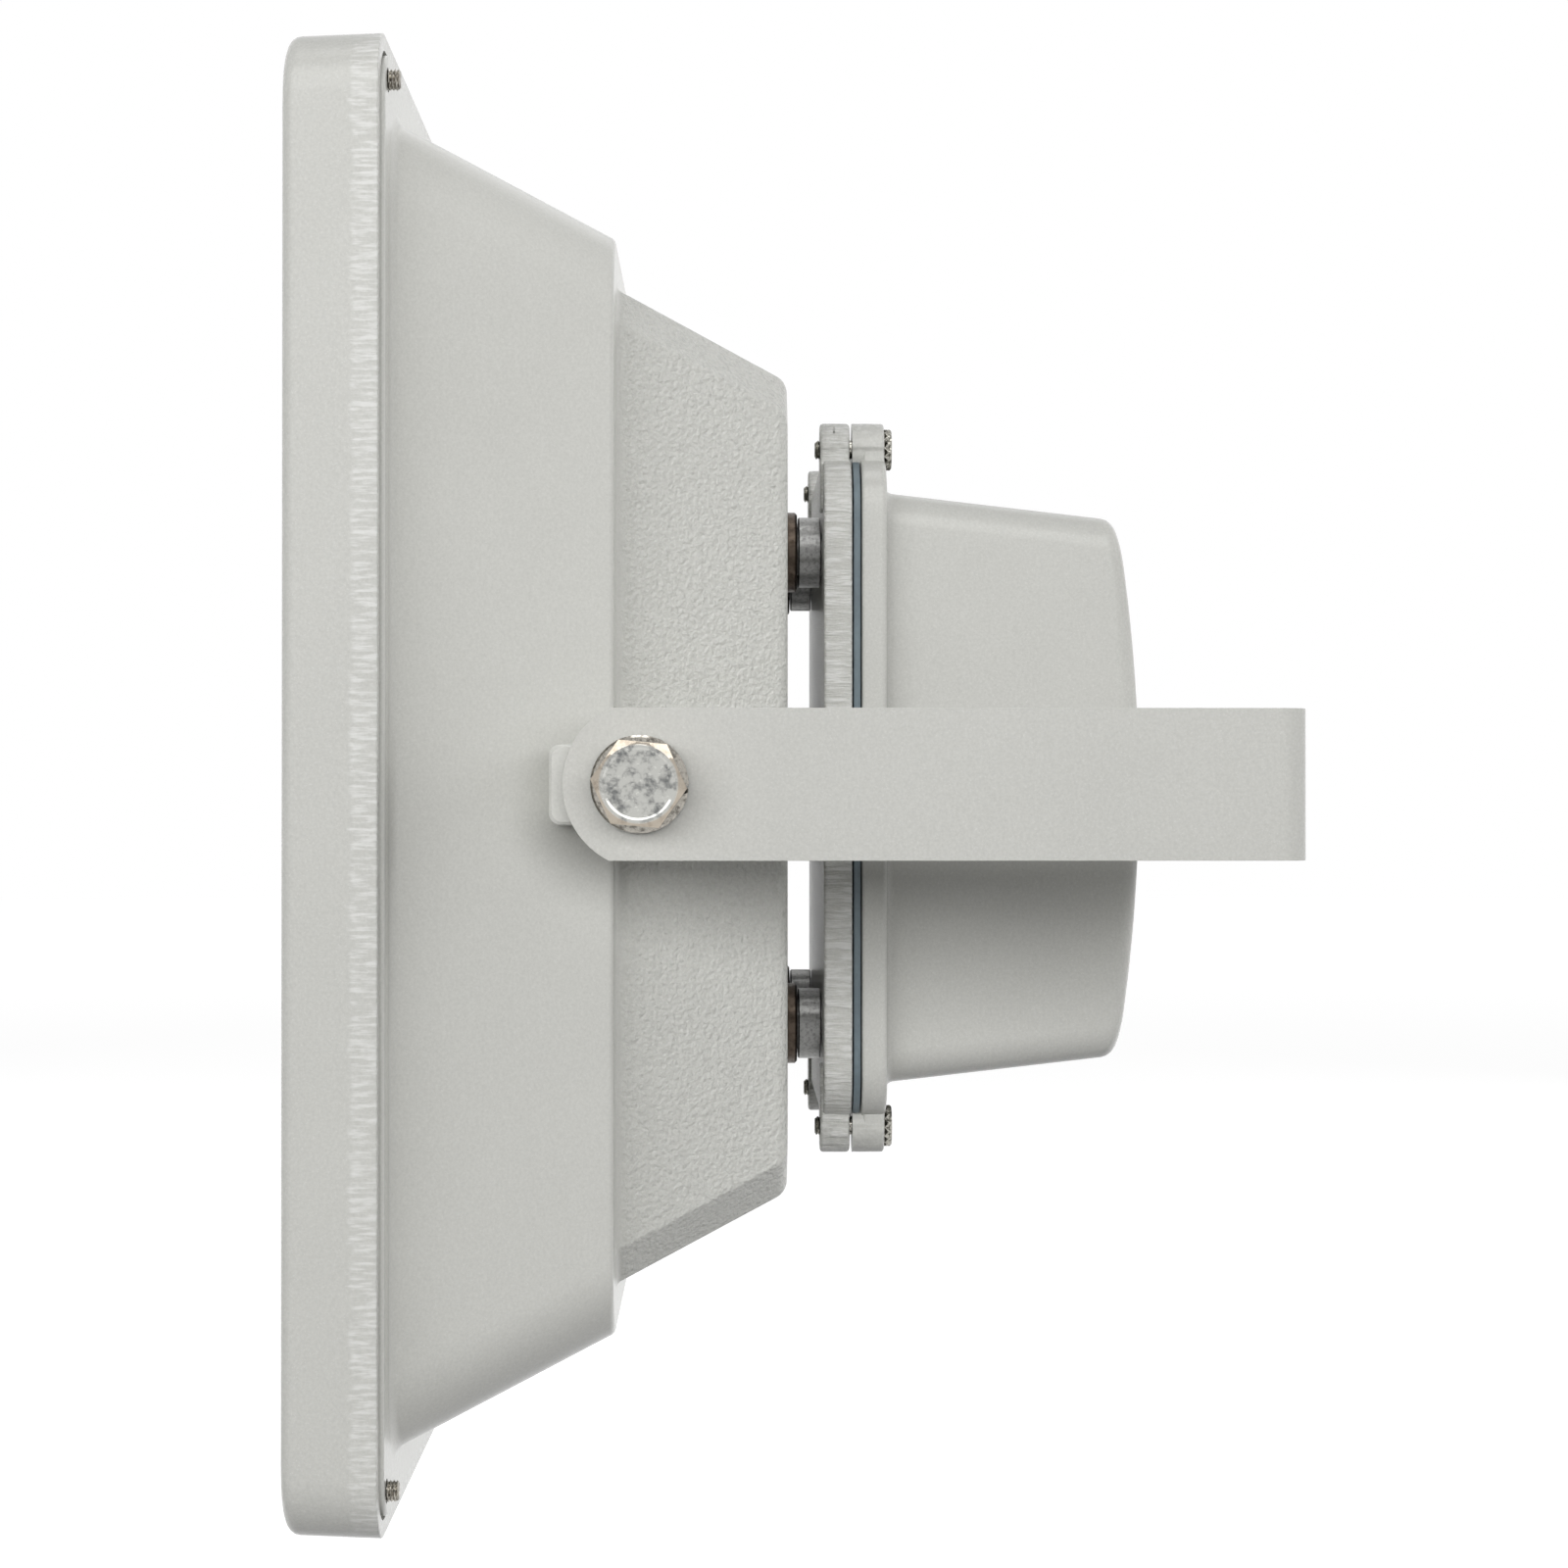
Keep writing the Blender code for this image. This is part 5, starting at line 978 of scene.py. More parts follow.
CERAMIC = Moulded("chip_ceramic", "board_mask", (0.88, 0.88, 0.86, 1), (0.80, 0.80, 0.78, 1), 0.35)
WINDOW = Clear("window_glass", "clear_glass")
LENS = Clear("lens_resin", "lens_plastic", colour=(0.96, 0.97, 0.97, 1), ior=1.49, haze=0.06)
MASK = BoardMask("board_solder_mask")
PHOSPHOR = Phosphor("chip_phosphor")


# Sub-assemblies


class Assembly:
    """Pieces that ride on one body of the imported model."""

    body: Body = Body.LAMP

    def show(
        self,
        name: str,
        solid: Solid,
        finish: Finish,
        replaces: Sequence[str] = (),
        at: Sequence[float] = (0, 0, 0),
        turn: Along | None = None,
        crisp: float = 32,
    ) -> None:
        """Puts a piece in its place on the body, dressed in its finish.

        Args:
            name: the piece's name.
            solid: its shape.
            finish: its material.
            replaces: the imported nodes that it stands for.
            at: its place in the body's own frame.
            turn: the way its own z axis points.
            crisp: the angle in degrees from which an edge stays sharp.
        """
        mesh = solid.mesh
        mesh.name = name
        mesh.materials.clear()
        mesh.materials.append(finish.material())
        mesh.shade_smooth()
        mesh.set_sharp_from_angle(angle=math.radians(crisp))
        obj = bpy.data.objects.new(name, mesh)
        bpy.context.scene.collection.objects.link(obj)
        origin = TILT_AXIS if self.body is Body.LAMP else (0, 0, 0)
        obj.location = Vector(origin) + Vector(at)
        obj.rotation_euler = turn.value if turn else (0, 0, 0)
        even = obj.modifiers.new("even_normals", "WEIGHTED_NORMAL")
        even.keep_sharp = True
        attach(obj, self.body.value)
        if replaces:
            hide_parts(*replaces)
        LOG.info("%s: %d faces", name, len(mesh.polygons))

    def four(
        self, name: str, solid: Solid, finish: Finish, node: str, station: float, half: Point, turn: Along
    ) -> None:
        """Shows four alike pieces at the corners of a rectangle across the lamp.

        Args:
            name: the pieces' name, before each one's number.
            solid: their shape.
            finish: their material.
            node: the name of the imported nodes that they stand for, before the number.
            station: where they lie along the lamp.
            half: half the rectangle's sides.
            turn: the way their own z axis points.
        """
        for count, (across, up) in enumerate(corners(*half), 1):
            self.show(f"{name}_{count}", solid, finish, [f"{node}_{count}"], (station, across, up), turn)

    @staticmethod
    def dress(node: str, finish: Finish) -> None:
        """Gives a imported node, whose shape is right, a better material."""
        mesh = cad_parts[node].data
        mesh.materials.clear()
        mesh.materials.append(finish.material())
        LOG.info("%s: dressed in %s", node, finish.name)


@dataclass
class Screw:
    """A cylinder head screw with a hexagon socket, its head's seat at zero."""

    head_diameter: float
    head: float
    diameter: float
    length: float
    socket: float
    socket_depth: float
    pitch: float
    thread: float
    chamfer: float = 0.0004
    lead_in: float = 0.0003
    rows_per_turn: int = 8
    ridges: int = 0
    ridge_depth: float = 0.00032
    ridge_start: float = 0.0002
    ridge_step: float = 0.00015

    def solid(self) -> Solid:
        """The screw about z, its thread only along the visible end."""
        top, radius = self.head_diameter / 2, self.diameter / 2
        end = -self.length
        head_rows = rows_between(top, self.head - self.chamfer, 0, self.ridge_step if self.ridges else 1)
        thread_top = end + self.thread
        profile = [(0, self.head), (top - self.chamfer, self.head), *head_rows, (radius, 0)]
        profile += rows_between(radius, thread_top, end + self.chamfer, self.pitch / self.rows_per_turn)
        profile += [(radius - self.chamfer - self.lead_in, end), (0, end)]
        thread = threaded(radius, self.pitch, self.pitch / 2, (end, thread_top))
        knurl = knurled(top, self.ridges, self.ridge_depth, (self.ridge_start, self.head))

        def relief(angle: float, at_radius: float, height: float) -> float:
            """The head's ridges above the seat and the thread below it."""
            if height > 0:
                return knurl(angle, at_radius, height) if self.ridges else at_radius
            return thread(angle, at_radius, height)

        steps = KNURL_STEPS if self.ridges else SCREW_STEPS
        body = Solid.turned(profile, steps=steps, relief=relief)
        floor = self.head - self.socket_depth
        hole = Solid.plate([hexagon(self.socket)], floor, self.head + OVERRUN, "Z")
        return body.combine(Operation.CUT, hole)


@dataclass
class YokeBracket(Assembly):
    """The bent strip that carries the lamp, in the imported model's frame."""

    arm_inner: float = 0.1575
    thickness: float = 0.005
    width: float = 0.035
    bend: float = 0.0015
    inner_steps: int = 8
    outer_steps: int = 14
    end_radius: float = 0.0197
    end_setback: float = 0.002
    end_steps: int = 48
    bore: float = 0.013
    hole: float = 0.013
    hole_spacing: float = 0.100
    slot_size: Point = (0.026, 0.011)
    slot_spacing: float = 0.190
    edge: float = 0.0007
    body: Body = Body.YOKE

    def _strip(self, reach: float) -> Solid:
        """The strip bent to a U, with square ends past the arms' reach."""
        outer = self.bend + self.thickness
        arm_outer = self.arm_inner + self.thickness
        front = -reach - self.end_radius - OVERRUN
        far = (-outer, arm_outer - outer)
        near = (far[0], -far[1])
        quarter = math.pi / 2
        outline = [(front, arm_outer)]
        outline += arc(far, outer, quarter, 0, self.outer_steps)
        outline += arc(near, outer, 0, -quarter, self.outer_steps)
        outline += [(front, -arm_outer), (front, -self.arm_inner)]
        outline += arc(near, self.bend, -quarter, 0, self.inner_steps)
        outline += arc(far, self.bend, 0, quarter, self.inner_steps)
        outline.append((front, self.arm_inner))
        return Solid.plate([outline], -self.width / 2, self.width / 2, "Z")

    def _side(self, reach: float) -> Outline:
        """The arms' outline from the side, with its round end."""
        half = self.width / 2
        kink = math.asin(half / self.end_radius)
        middle = (self.end_setback - reach, 0)
        side = arc(middle, self.end_radius, math.pi - kink, math.pi + kink, self.end_steps)
        return side + [(OVERRUN, -half), (OVERRUN, half)]

    def build(self) -> None:
        """The strip, with its round arm ends, bores, holes and slots."""
        reach = -TILT_AXIS[0]
        span = self.arm_inner + self.thickness + OVERRUN
        holes = [circle((self.hole_spacing / 2 * way, 0), self.hole) for way in (-1, 1)]
        slots = [slot_outline((self.slot_spacing / 2 * way, 0), *self.slot_size) for way in (-1, 1)]
        strip = self._strip(reach)
        strip.combine(Operation.MEET, Solid.plate([self._side(reach)], -span, span, "Y"))
        strip.combine(
            Operation.CUT,
            Solid.bores([(-reach, 0)], self.bore, -span, span, "Y"),
            Solid.plate(holes + slots, -self.thickness - OVERRUN, OVERRUN),
        )
        strip.softened(self.edge)
        self.show("yoke_strip", strip, STRIP_COAT, ["yoke_bracket"])


@dataclass
class CastHousing(Assembly):
    """The stepped casting: flange, bowl, step and chamber, with its pivot bosses."""

    flange: Point = (-0.0636, -0.0576)
    flange_half: float = 0.1675
    flange_radius: float = 0.011
    flange_fillet: float = 0.0008
    step: float = -0.007
    step_fillets: Point = (0.002, 0.0025)
    bowl_half: Point = (0.1559, 0.13273)
    bowl_radius: float = 0.020
    bowl_fillet: float = 0.003
    chamber_half: Point = (0.12123, 0.10129)
    chamber_cut: float = 0.009
    cut_edge: float = 0.0015
    rear_fillet: float = 0.0045
    rear_rim: float = 0.009
    wall: float = 0.004
    slope_share: float = 1.1
    cut_share: float = 0.586
    post: float = 0.0136
    post_hole_end: float = -0.005
    boss: Triple = (0.1572, 0.042, 0.0184)
    boss_root: float = 0.096
    boss_radius: float = 0.0025
    boss_draft: float = 0.0012
    boss_bevel: float = 0.0006
    bolt_hole_end: float = 0.1339

    def _bowl(self, station: float) -> float:
        """Half side of the bowl's outer wall."""
        share = (station - self.flange[1]) / (self.step - self.flange[1])
        return self.bowl_half[0] + (self.bowl_half[1] - self.bowl_half[0]) * share

    def _chamber(self, station: float) -> float:
        """Half side of the chamber's outer wall."""
        share = (station - self.step) / (HOUSING_REAR - self.step)
        return self.chamber_half[0] + (self.chamber_half[1] - self.chamber_half[0]) * share

    def _outside(self) -> Solid:
        """Flange, bowl, step and chamber as one solid."""
        flange, bowl = round_corner(self.flange_radius), round_corner(self.bowl_radius)
        chamber = cut_corner(self.chamber_cut, self.cut_edge)
        profile = [
            (self.flange[0], self.flange_half, flange, 0),
            (self.flange[1], self.flange_half, flange, self.flange_fillet),
            (self.flange[1], self.bowl_half[0], bowl, self.bowl_fillet),
            (self.step, self.bowl_half[1], bowl, self.step_fillets[0]),
            (self.step, self.chamber_half[0], chamber, self.step_fillets[1]),
            (HOUSING_REAR, self.chamber_half[1], chamber, self.rear_fillet),
            (HOUSING_REAR, self.chamber_half[1] - self.rear_rim, chamber, 0),
        ]
        return Solid.loft(sections(filleted(profile)))

    def _hollow(self) -> Solid:
        """The space inside, open to the front, with the board's posts left standing."""
        across = self.wall * self.slope_share
        ledge, floor = self.step - self.wall, HOUSING_REAR - self.wall
        bowl = round_corner(self.bowl_radius - across)
        chamber = cut_corner(self.chamber_cut - across * self.cut_share, self.cut_edge)
        rows = [
            (self.flange[0] - OVERRUN, self.bowl_half[0] - across, bowl),
            (self.flange[1], self.bowl_half[0] - across, bowl),
            (ledge, self._bowl(ledge) - across, bowl),
            (ledge, self._chamber(ledge) - across, chamber),
            (floor, self._chamber(floor) - across, chamber),
        ]
        posts = Solid.bores(corners(*BOARD_SCREWS), self.post, ledge, HOUSING_REAR)
        return Solid.loft(sections(rows)).combine(Operation.CUT, posts)

    def _boss(self) -> Solid:
        """One pivot boss, standing out along x."""
        face, length, height = self.boss
        corner, bevel = round_corner(self.boss_radius), self.boss_bevel
        rows = [
            (self.boss_root, self.boss_draft, corner),
            (face - bevel, 0.0, corner),
            (face, -bevel, corner),
        ]
        return Solid.loft(sections(rows, length / 2, height / 2))

    def build(self) -> None:
        """The casting with its bosses, hollow and holes."""
        housing, boss = self._outside(), self._boss()
        for way in (-1, 1):
            housing.combine(Operation.JOIN, boss.moved(Matrix.Rotation(way * math.pi / 2, 4, "Z")))
        face, ledge, floor = self.boss[0], self.step - self.wall, HOUSING_REAR - self.wall
        housing.combine(
            Operation.CUT,
            self._hollow(),
            Solid.bores(corners(*DOOR_SCREWS), HOLE_M5, self.flange[0] - OVERRUN, self.flange[1] + OVERRUN),
            Solid.bores(corners(*BOARD_SCREWS), HOLE_M4, ledge - OVERRUN, self.post_hole_end),
            Solid.bores(corners(*STANDOFFS), HOLE_M12, floor - OVERRUN, HOUSING_REAR + OVERRUN),
            Solid.bores([(0, 0)], HOLE_M12, -face - OVERRUN, -self.bolt_hole_end, "Y"),
            Solid.bores([(0, 0)], HOLE_M12, self.bolt_hole_end, face + OVERRUN, "Y"),
        )
        self.show("cast_housing", housing, CASTING_COAT_PAINTED_LIGHTER, ["rear_housing"])


@dataclass
class FrontDoor(Assembly):
    """The door frame with its glass, gaskets and four screws."""

    rim: float = -0.0587
    front: float = -0.0807
    seat: float = -0.0656
    face_rear: float = -0.0757
    half: float = 0.1725
    draft: float = 0.0008
    inner_half: float = 0.1685
    skirt_radii: Point = (0.016, 0.012)
    rim_fillet: float = 0.0005
    front_fillet: float = 0.0035
    window_half: float = 0.145001
    window_radius: float = 0.006
    window_fillet: float = 0.0015
    recess_half: float = 0.152301
    recess_radius: float = 0.008
    glass: Point = (-0.0739, -0.0699)
    glass_half: float = 0.150501
    glass_radius: float = 0.0068
    glass_edge: float = 0.0004
    channel_radii: Point = (0.0077, 0.0071)
    channel_rear: float = -0.065
    channel_lip: float = 0.0006
    channel_backing: float = 0.0035
    gasket: Point = (-0.0653, -0.0639)
    gasket_half: Point = (0.157001, 0.153201)
    gasket_radii: Point = (0.010, 0.0062)
    head_hole: Point = (0.0093, 0.0055)
    screw_sink: float = 0.0052
    screw_end: float = -0.0546

    def _frame(self) -> Solid:
        """The face, window, recess and skirt, bored for the screws."""
        outer, inner = (round_corner(radius) for radius in self.skirt_radii)
        window, recess = round_corner(self.window_radius), round_corner(self.recess_radius)
        profile = [
            (self.rim, self.half, outer, self.rim_fillet),
            (self.front, self.half - self.draft, outer, self.front_fillet),
            (self.front, self.window_half, window, self.window_fillet),
            (self.face_rear, self.window_half, window, 0),
            (self.face_rear, self.recess_half, recess, 0),
            (self.seat, self.recess_half, recess, 0),
            (self.seat, self.inner_half, inner, 0),
            (self.rim, self.inner_half, inner, 0),
        ]
        places, start = corners(*DOOR_SCREWS), self.front - OVERRUN
        diameter, depth = self.head_hole
        return Solid.loft(sections(filleted(profile, ring=True)), ring=True).combine(
            Operation.CUT,
            Solid.bores(places, diameter, start, self.front + depth),
            Solid.bores(places, HOLE_M5, start, self.seat + OVERRUN),
        )

    def _glass_gasket(self) -> Solid:
        """The channel of silicone round the glass's edge."""
        outer, inner = (round_corner(radius) for radius in self.channel_radii)
        window = round_corner(self.window_radius)
        lip, backing = self.window_half + self.channel_lip, self.glass_half - self.channel_backing
        groove, wall = self.glass_half + GAP, self.recess_half - GAP
        rows = [
            (self.face_rear + GAP, lip, window),
            (self.face_rear + GAP, wall, outer),
            (self.channel_rear, wall, outer),
            (self.channel_rear, backing, window),
            (self.glass[1] + GAP, backing, window),
            (self.glass[1] + GAP, groove, inner),
            (self.glass[0] - GAP, groove, inner),
            (self.glass[0] - GAP, lip, window),
        ]
        return Solid.loft(sections(rows), ring=True)

    def _flange_gasket(self) -> Solid:
        """The flat ring between the frame and the housing's flange."""
        (start, end), (outer, inner) = self.gasket, self.gasket_half
        ring = Solid.plate([rounded(outer, outer, self.gasket_radii[0])], start, end)
        hole = Solid.plate([rounded(inner, inner, self.gasket_radii[1])], start - OVERRUN, end + OVERRUN)
        return ring.combine(Operation.CUT, hole)

    def build(self) -> None:
        """Frame, glass, both gaskets and the screws."""
        self.show("door_frame", self._frame(), DOOR_COAT, ["front_frame"])
        pane = Solid.plate([rounded(self.glass_half, self.glass_half, self.glass_radius)], *self.glass)
        self.show("window_pane", pane.softened(self.glass_edge, 2), WINDOW, ["front_glass"])
        self.show("window_channel", self._glass_gasket(), SILICONE, ["glass_gasket"])
        self.show("flange_gasket", self._flange_gasket(), SILICONE, ["housing_gasket"])
        seat = self.front + self.screw_sink
        screw = Screw(
            head_diameter=0.0085,
            head=0.005,
            diameter=0.005,
            length=self.screw_end - seat,
            socket=0.004,
            socket_depth=0.0025,
            pitch=0.0008,
            thread=0.0045,
        )
        self.four("door_screw", screw.solid(), SCREW_STEEL, "frame_screw", seat, DOOR_SCREWS, Along.FRONT)


@dataclass
class LightSource(Assembly):
    """Reflector, lens panel, light board, chips, heat spreader and board screws."""

    count: int = 5
    board: Point = (-0.0162, -0.0146)
    board_half: float = 0.116166
    board_radius: float = 0.004
    chip_half: float = 0.00275
    chip_height: float = 0.001
    chip_edge: float = 0.0002
    panel: Triple = (-0.0212, -0.0187, -0.0165)
    panel_half: float = 0.098166
    panel_radius: float = 0.008
    panel_edge: float = 0.0004
    panel_wall: float = 0.002
    lens_radius: float = 0.0157
    lens_height: float = 0.0085
    lens_root: float = 0.0008
    lens_rows: int = 12
    lens_steps: int = 40
    lip: float = -0.0647
    mouth: float = 0.148001
    lip_half: float = 0.152601
    throat: float = 0.100166
    funnel_radius: float = 0.010
    sheet: float = 0.0008

    def _places(self) -> list[Point]:
        """The chips' places across the lamp."""
        levels = [(index - (self.count - 1) / 2) * CHIP_PITCH for index in range(self.count)]
        return [(across, up) for across in levels for up in levels]

    def _spots(self, station: float) -> list[Matrix]:
        """Places over the chips, with z turned to the front."""
        return [Matrix.Translation((station, across, up)) @ TO_FRONT for across, up in self._places()]

    def _reflector(self) -> Solid:
        """The sheet funnel with its flat lip."""
        slope = (self.mouth - self.throat) / (self.panel[2] - self.lip)
        across = self.sheet * math.hypot(1, slope)
        corner = round_corner(self.funnel_radius)
        rows = [
            (self.panel[2], self.throat, corner),
            (self.lip, self.mouth, corner),
            (self.lip, self.lip_half, corner),
            (self.lip + self.sheet, self.lip_half, corner),
            (self.lip + self.sheet, self.mouth + across - self.sheet * slope, corner),
            (self.panel[2], self.throat + across, corner),
        ]
        return Solid.loft(sections(rows), ring=True)

    def _lens_panel(self) -> Solid:
        """The clear tray with a domed lens over each chip."""
        face, inside, rear = self.panel
        half, radius = self.panel_half, self.panel_radius
        tray = Solid.plate([rounded(half, half, radius)], face, rear).softened(self.panel_edge, 2)
        half, radius = half - self.panel_wall, radius - self.panel_wall
        tray.combine(Operation.CUT, Solid.plate([rounded(half, half, radius)], inside, rear + OVERRUN))
        angles = [math.pi / 2 * step / self.lens_rows for step in range(self.lens_rows + 1)]
        profile = [(self.lens_radius * math.sin(a), self.lens_height * math.cos(a)) for a in angles]
        profile += [(self.lens_radius, -self.lens_root), (0, -self.lens_root)]
        lenses = Solid.turned(profile, steps=self.lens_steps).moved(*self._spots(face))
        return tray.combine(Operation.JOIN, lenses)

    def _board(self) -> Solid:
        """The board, bored for its screws."""
        start, end = self.board
        board = Solid.plate([rounded(self.board_half, self.board_half, self.board_radius)], start, end)
        holes = Solid.bores(corners(*BOARD_SCREWS), HOLE_M4, start - OVERRUN, end + OVERRUN)
        return board.combine(Operation.CUT, holes)

    def _chips(self) -> Solid:
        """A square package for each chip."""
        half, front = self.chip_half, self.board[0]
        spans = []
        for across, up in self._places():
            low = (front - self.chip_height, across - half, up - half)
            spans.append((low, (front, across + half, up + half)))
        return Solid.boxes(spans).softened(self.chip_edge, 2)

    def build(self) -> None:
        """Everything behind the glass."""
        self.show("reflector_funnel", self._reflector(), BRIGHT_SHEET, ["reflector"])
        self.show("lens_tray", self._lens_panel(), LENS, ["lens_panel"])
        self.show("light_board", self._board(), MASK, ["led_board"])
        self.show("chip_packages", self._chips(), CERAMIC)
        dome = Solid.turned([(0, 0.00025), (0.0012, 0.0002), (0.0021, 0), (0, 0)], steps=32)
        dots = dome.moved(*self._spots(self.board[0] - self.chip_height))
        self.show("chip_phosphors", dots, PHOSPHOR)
        screw = Screw(
            head_diameter=0.007,
            head=0.0026,
            diameter=0.004,
            length=0.0105,
            socket=0.0025,
            socket_depth=0.0014,
            pitch=0.0007,
            thread=0.0007,
        )
        seat = self.board[0] - GAP
        self.four(
            "light_board_screw", screw.solid(), SCREW_STEEL, "board_screw", seat, BOARD_SCREWS, Along.FRONT
        )
        self.dress("heat_spreader", MILLED)


@dataclass
class StandOffs(Assembly):
    """The four stand-offs that carry the driver box, each with its ring and nut."""

    bore: float = 0.0035
    spigot: float = 0.006
    barrel: float = 0.0092
    chamfer: float = 0.0006
    barrel_edge: float = 0.0003
    ends: Point = (-0.004, 0.0224)
    barrel_ends: Point = (0.0036, 0.0095)
    ring: Triple = (0.0063, 0.0105, 0.003)
    nut_front: float = 0.0524
    nut_flats: float = 0.017
    nut_height: float = 0.004
    nut_edge: float = 0.0004

    def _pillar(self) -> Solid:
        """A hollow post with a spigot at each end of its barrel."""
        bore, spigot, barrel = self.bore, self.spigot, self.barrel
        (foot, end), (shoulder, top) = self.ends, self.barrel_ends
        chamfer, edge = self.chamfer, self.barrel_edge
        profile = [(bore, end), (spigot - chamfer, end), (spigot, end - chamfer), (spigot, top)]
        profile += [(barrel - edge, top), (barrel, top - edge)]
        profile += [(barrel, shoulder + edge), (barrel - edge, shoulder)]
        profile += [(spigot, shoulder), (spigot, foot + chamfer), (spigot - chamfer, foot), (bore, foot)]
        return Solid.turned(profile, ring=True)

    def build(self) -> None:
        """Stand-offs, rings and nuts."""
        rear = HOUSING_REAR
        self.four("box_pillar", self._pillar(), PILLAR_STEEL, "standoff", rear, STANDOFFS, Along.REAR)
        inner, outer, thick = self.ring
        ring = Solid.turned(chamfered_ring(inner, outer, 0, thick, self.chamfer), ring=True)
        self.four("pillar_ring", ring, RING_STEEL, "standoff_ring", rear + GAP, STANDOFFS, Along.REAR)
        nut = Solid.plate([hexagon(self.nut_flats)], 0, self.nut_height, "Z").softened(self.nut_edge, 2)
        hole = Solid.bores([(0, 0)], HOLE_M12, -OVERRUN, self.nut_height + OVERRUN, "Z")
        nut.combine(Operation.CUT, hole)
        self.four("pillar_nut", nut, SCREW_STEEL, "standoff_nut", self.nut_front, STANDOFFS, Along.REAR)


@dataclass
class DriverBox(Assembly):
    """The driver box: base plate, gasket, crowned cover and knurled screws."""

    half_y: float = 0.074
    half_z: float = 0.086
    corner: float = 0.015
    base: Point = (0.0448, 0.0521)
    cover_front: float = 0.0545
    flange_rear: float = 0.0611
    flange_width: float = 0.009
    flange_fillets: Triple = (0.001, 0.0016, 0.0025)
    cover_rear: float = 0.1227
    cover_radii: Point = (0.009, 0.0055)
    rear_fillet: float = 0.005
    rear_rim: float = 0.010
    floor_fillet: float = 0.003
    floor_rim: float = 0.006
    crown: float = 0.0054
    crown_rows: int = 24
    draft: float = math.radians(6)
    wall: float = 0.0035
    ear: Point = (0.0588, 0.088)
    ear_radius: float = 0.0068
    ear_root: float = 0.016
    ear_steps: int = 32
    ear_proud: float = 0.0007
    ear_setback: float = 0.0004
    ear_pad_setback: float = 0.0008
    edge: float = 0.0008
    gasket_inset: float = 0.0004
    gasket_width: float = 0.0115
    gasket_edge: float = 0.0003
    gasket_notch: float = 0.001
    head_pocket: Point = (0.0115, 0.0569)
    screw_seat: float = 0.0572
    bore_start: float = 0.0418
    driver_holes: tuple[Point, Point] = ((0, 0.065), (0, -0.041))
    driver_hole_floor: float = 0.0468
    casting_notch: tuple[Triple, Triple] = ((0.0474, -0.07, 0.0916), (0.0479, -0.0624, 0.0936))
    pad: float = 0.032
    pad_edge: float = 0.0006

    def _inset(self, station: float) -> float:
        """How far the cover's wall lies inside its flange's outline."""
        return self.flange_width + (station - self.flange_rear) * math.tan(self.draft)

    def _inside(self, inset: float) -> Outline:
        """The flange's outline, drawn in by an inset."""
        return rounded(self.half_y - inset, self.half_z - inset, self.corner - inset)

    def _with_ears(self, solid: Solid, start: float, end: float) -> Solid:
        """Joins a softened ear to a plate at each of its four screws."""
        for (across, up), (_, way) in zip(corners(*self.ear), SQUARE):
            foot = up - self.ear_root * way
            outline = arc((across, up), self.ear_radius, 0, math.pi * way, self.ear_steps)
            outline += [(across - self.ear_radius, foot), (across + self.ear_radius, foot)]
            solid.combine(Operation.JOIN, Solid.plate([outline], start, end).softened(self.edge))
        return solid

    def _base(self) -> Solid:
        """The base plate, bored for screws and stand-offs."""
        start, end = self.base
        plate = Solid.plate([self._inside(0)], start, end).softened(self.edge)
        self._with_ears(plate, start - self.ear_proud, end - self.ear_setback)
        ends = (self.bore_start, end + OVERRUN)
        return plate.combine(
            Operation.CUT,
            Solid.bores(corners(*self.ear), HOLE_M5, *ends),
            Solid.bores(corners(*STANDOFFS), HOLE_M12, *ends),
            Solid.bores(self.driver_holes, HOLE_M4, self.driver_hole_floor, ends[1]),
            Solid.boxes([self.casting_notch]),
        )

    def _gasket(self) -> Solid:
        """The gasket ring, notched round the ears."""
        start, end = self.base[1] + GAP, self.cover_front - GAP
        ends = (start - OVERRUN, end + OVERRUN)
        ring = Solid.plate([self._inside(self.gasket_inset)], start, end)
        hole = Solid.plate([self._inside(self.gasket_inset + self.gasket_width)], *ends)
        notches = Solid.bores(corners(*self.ear), 2 * self.ear_radius + self.gasket_notch, *ends)
        return ring.combine(Operation.CUT, hole, notches).softened(self.gasket_edge, 2)

    def _shell(self) -> Solid:
        """The cover's shell, bowed rearwards in the middle of its height."""
        rear, floor = -self._inset(self.cover_rear), self.cover_rear - self.wall
        root = -self.flange_width
        opening, bottom = root - self.wall, -self._inset(floor) - self.wall
        outer, inner = (round_corner(radius) for radius in self.cover_radii)
        flange = round_corner(self.corner)
        front_fillet, rear_fillet, root_fillet = self.flange_fillets
        profile = [
            (floor, bottom - self.floor_rim, inner, 0),
            (floor, bottom, inner, self.floor_fillet),
            (self.flange_rear, opening, inner, 0),
            (self.cover_front, opening, inner, 0),
            (self.cover_front, 0.0, flange, front_fillet),
            (self.flange_rear, 0.0, flange, rear_fillet),
            (self.flange_rear, root, outer, root_fillet),
            (self.cover_rear, rear, outer, self.rear_fillet),
            (self.cover_rear, rear - self.rear_rim, outer, 0),
        ]
        loops = sections(filleted(profile), self.half_y, self.half_z, self.crown_rows)
        depth = self.cover_rear - self.flange_rear
        for loop in loops:
            half = max(point.z for point in loop)
            share = max(0.0, (loop[0].x - self.flange_rear) / depth)
            for point in loop:
                point.x += self.crown * share * (1 - (point.z / half) ** 2)
        return Solid.loft(loops)

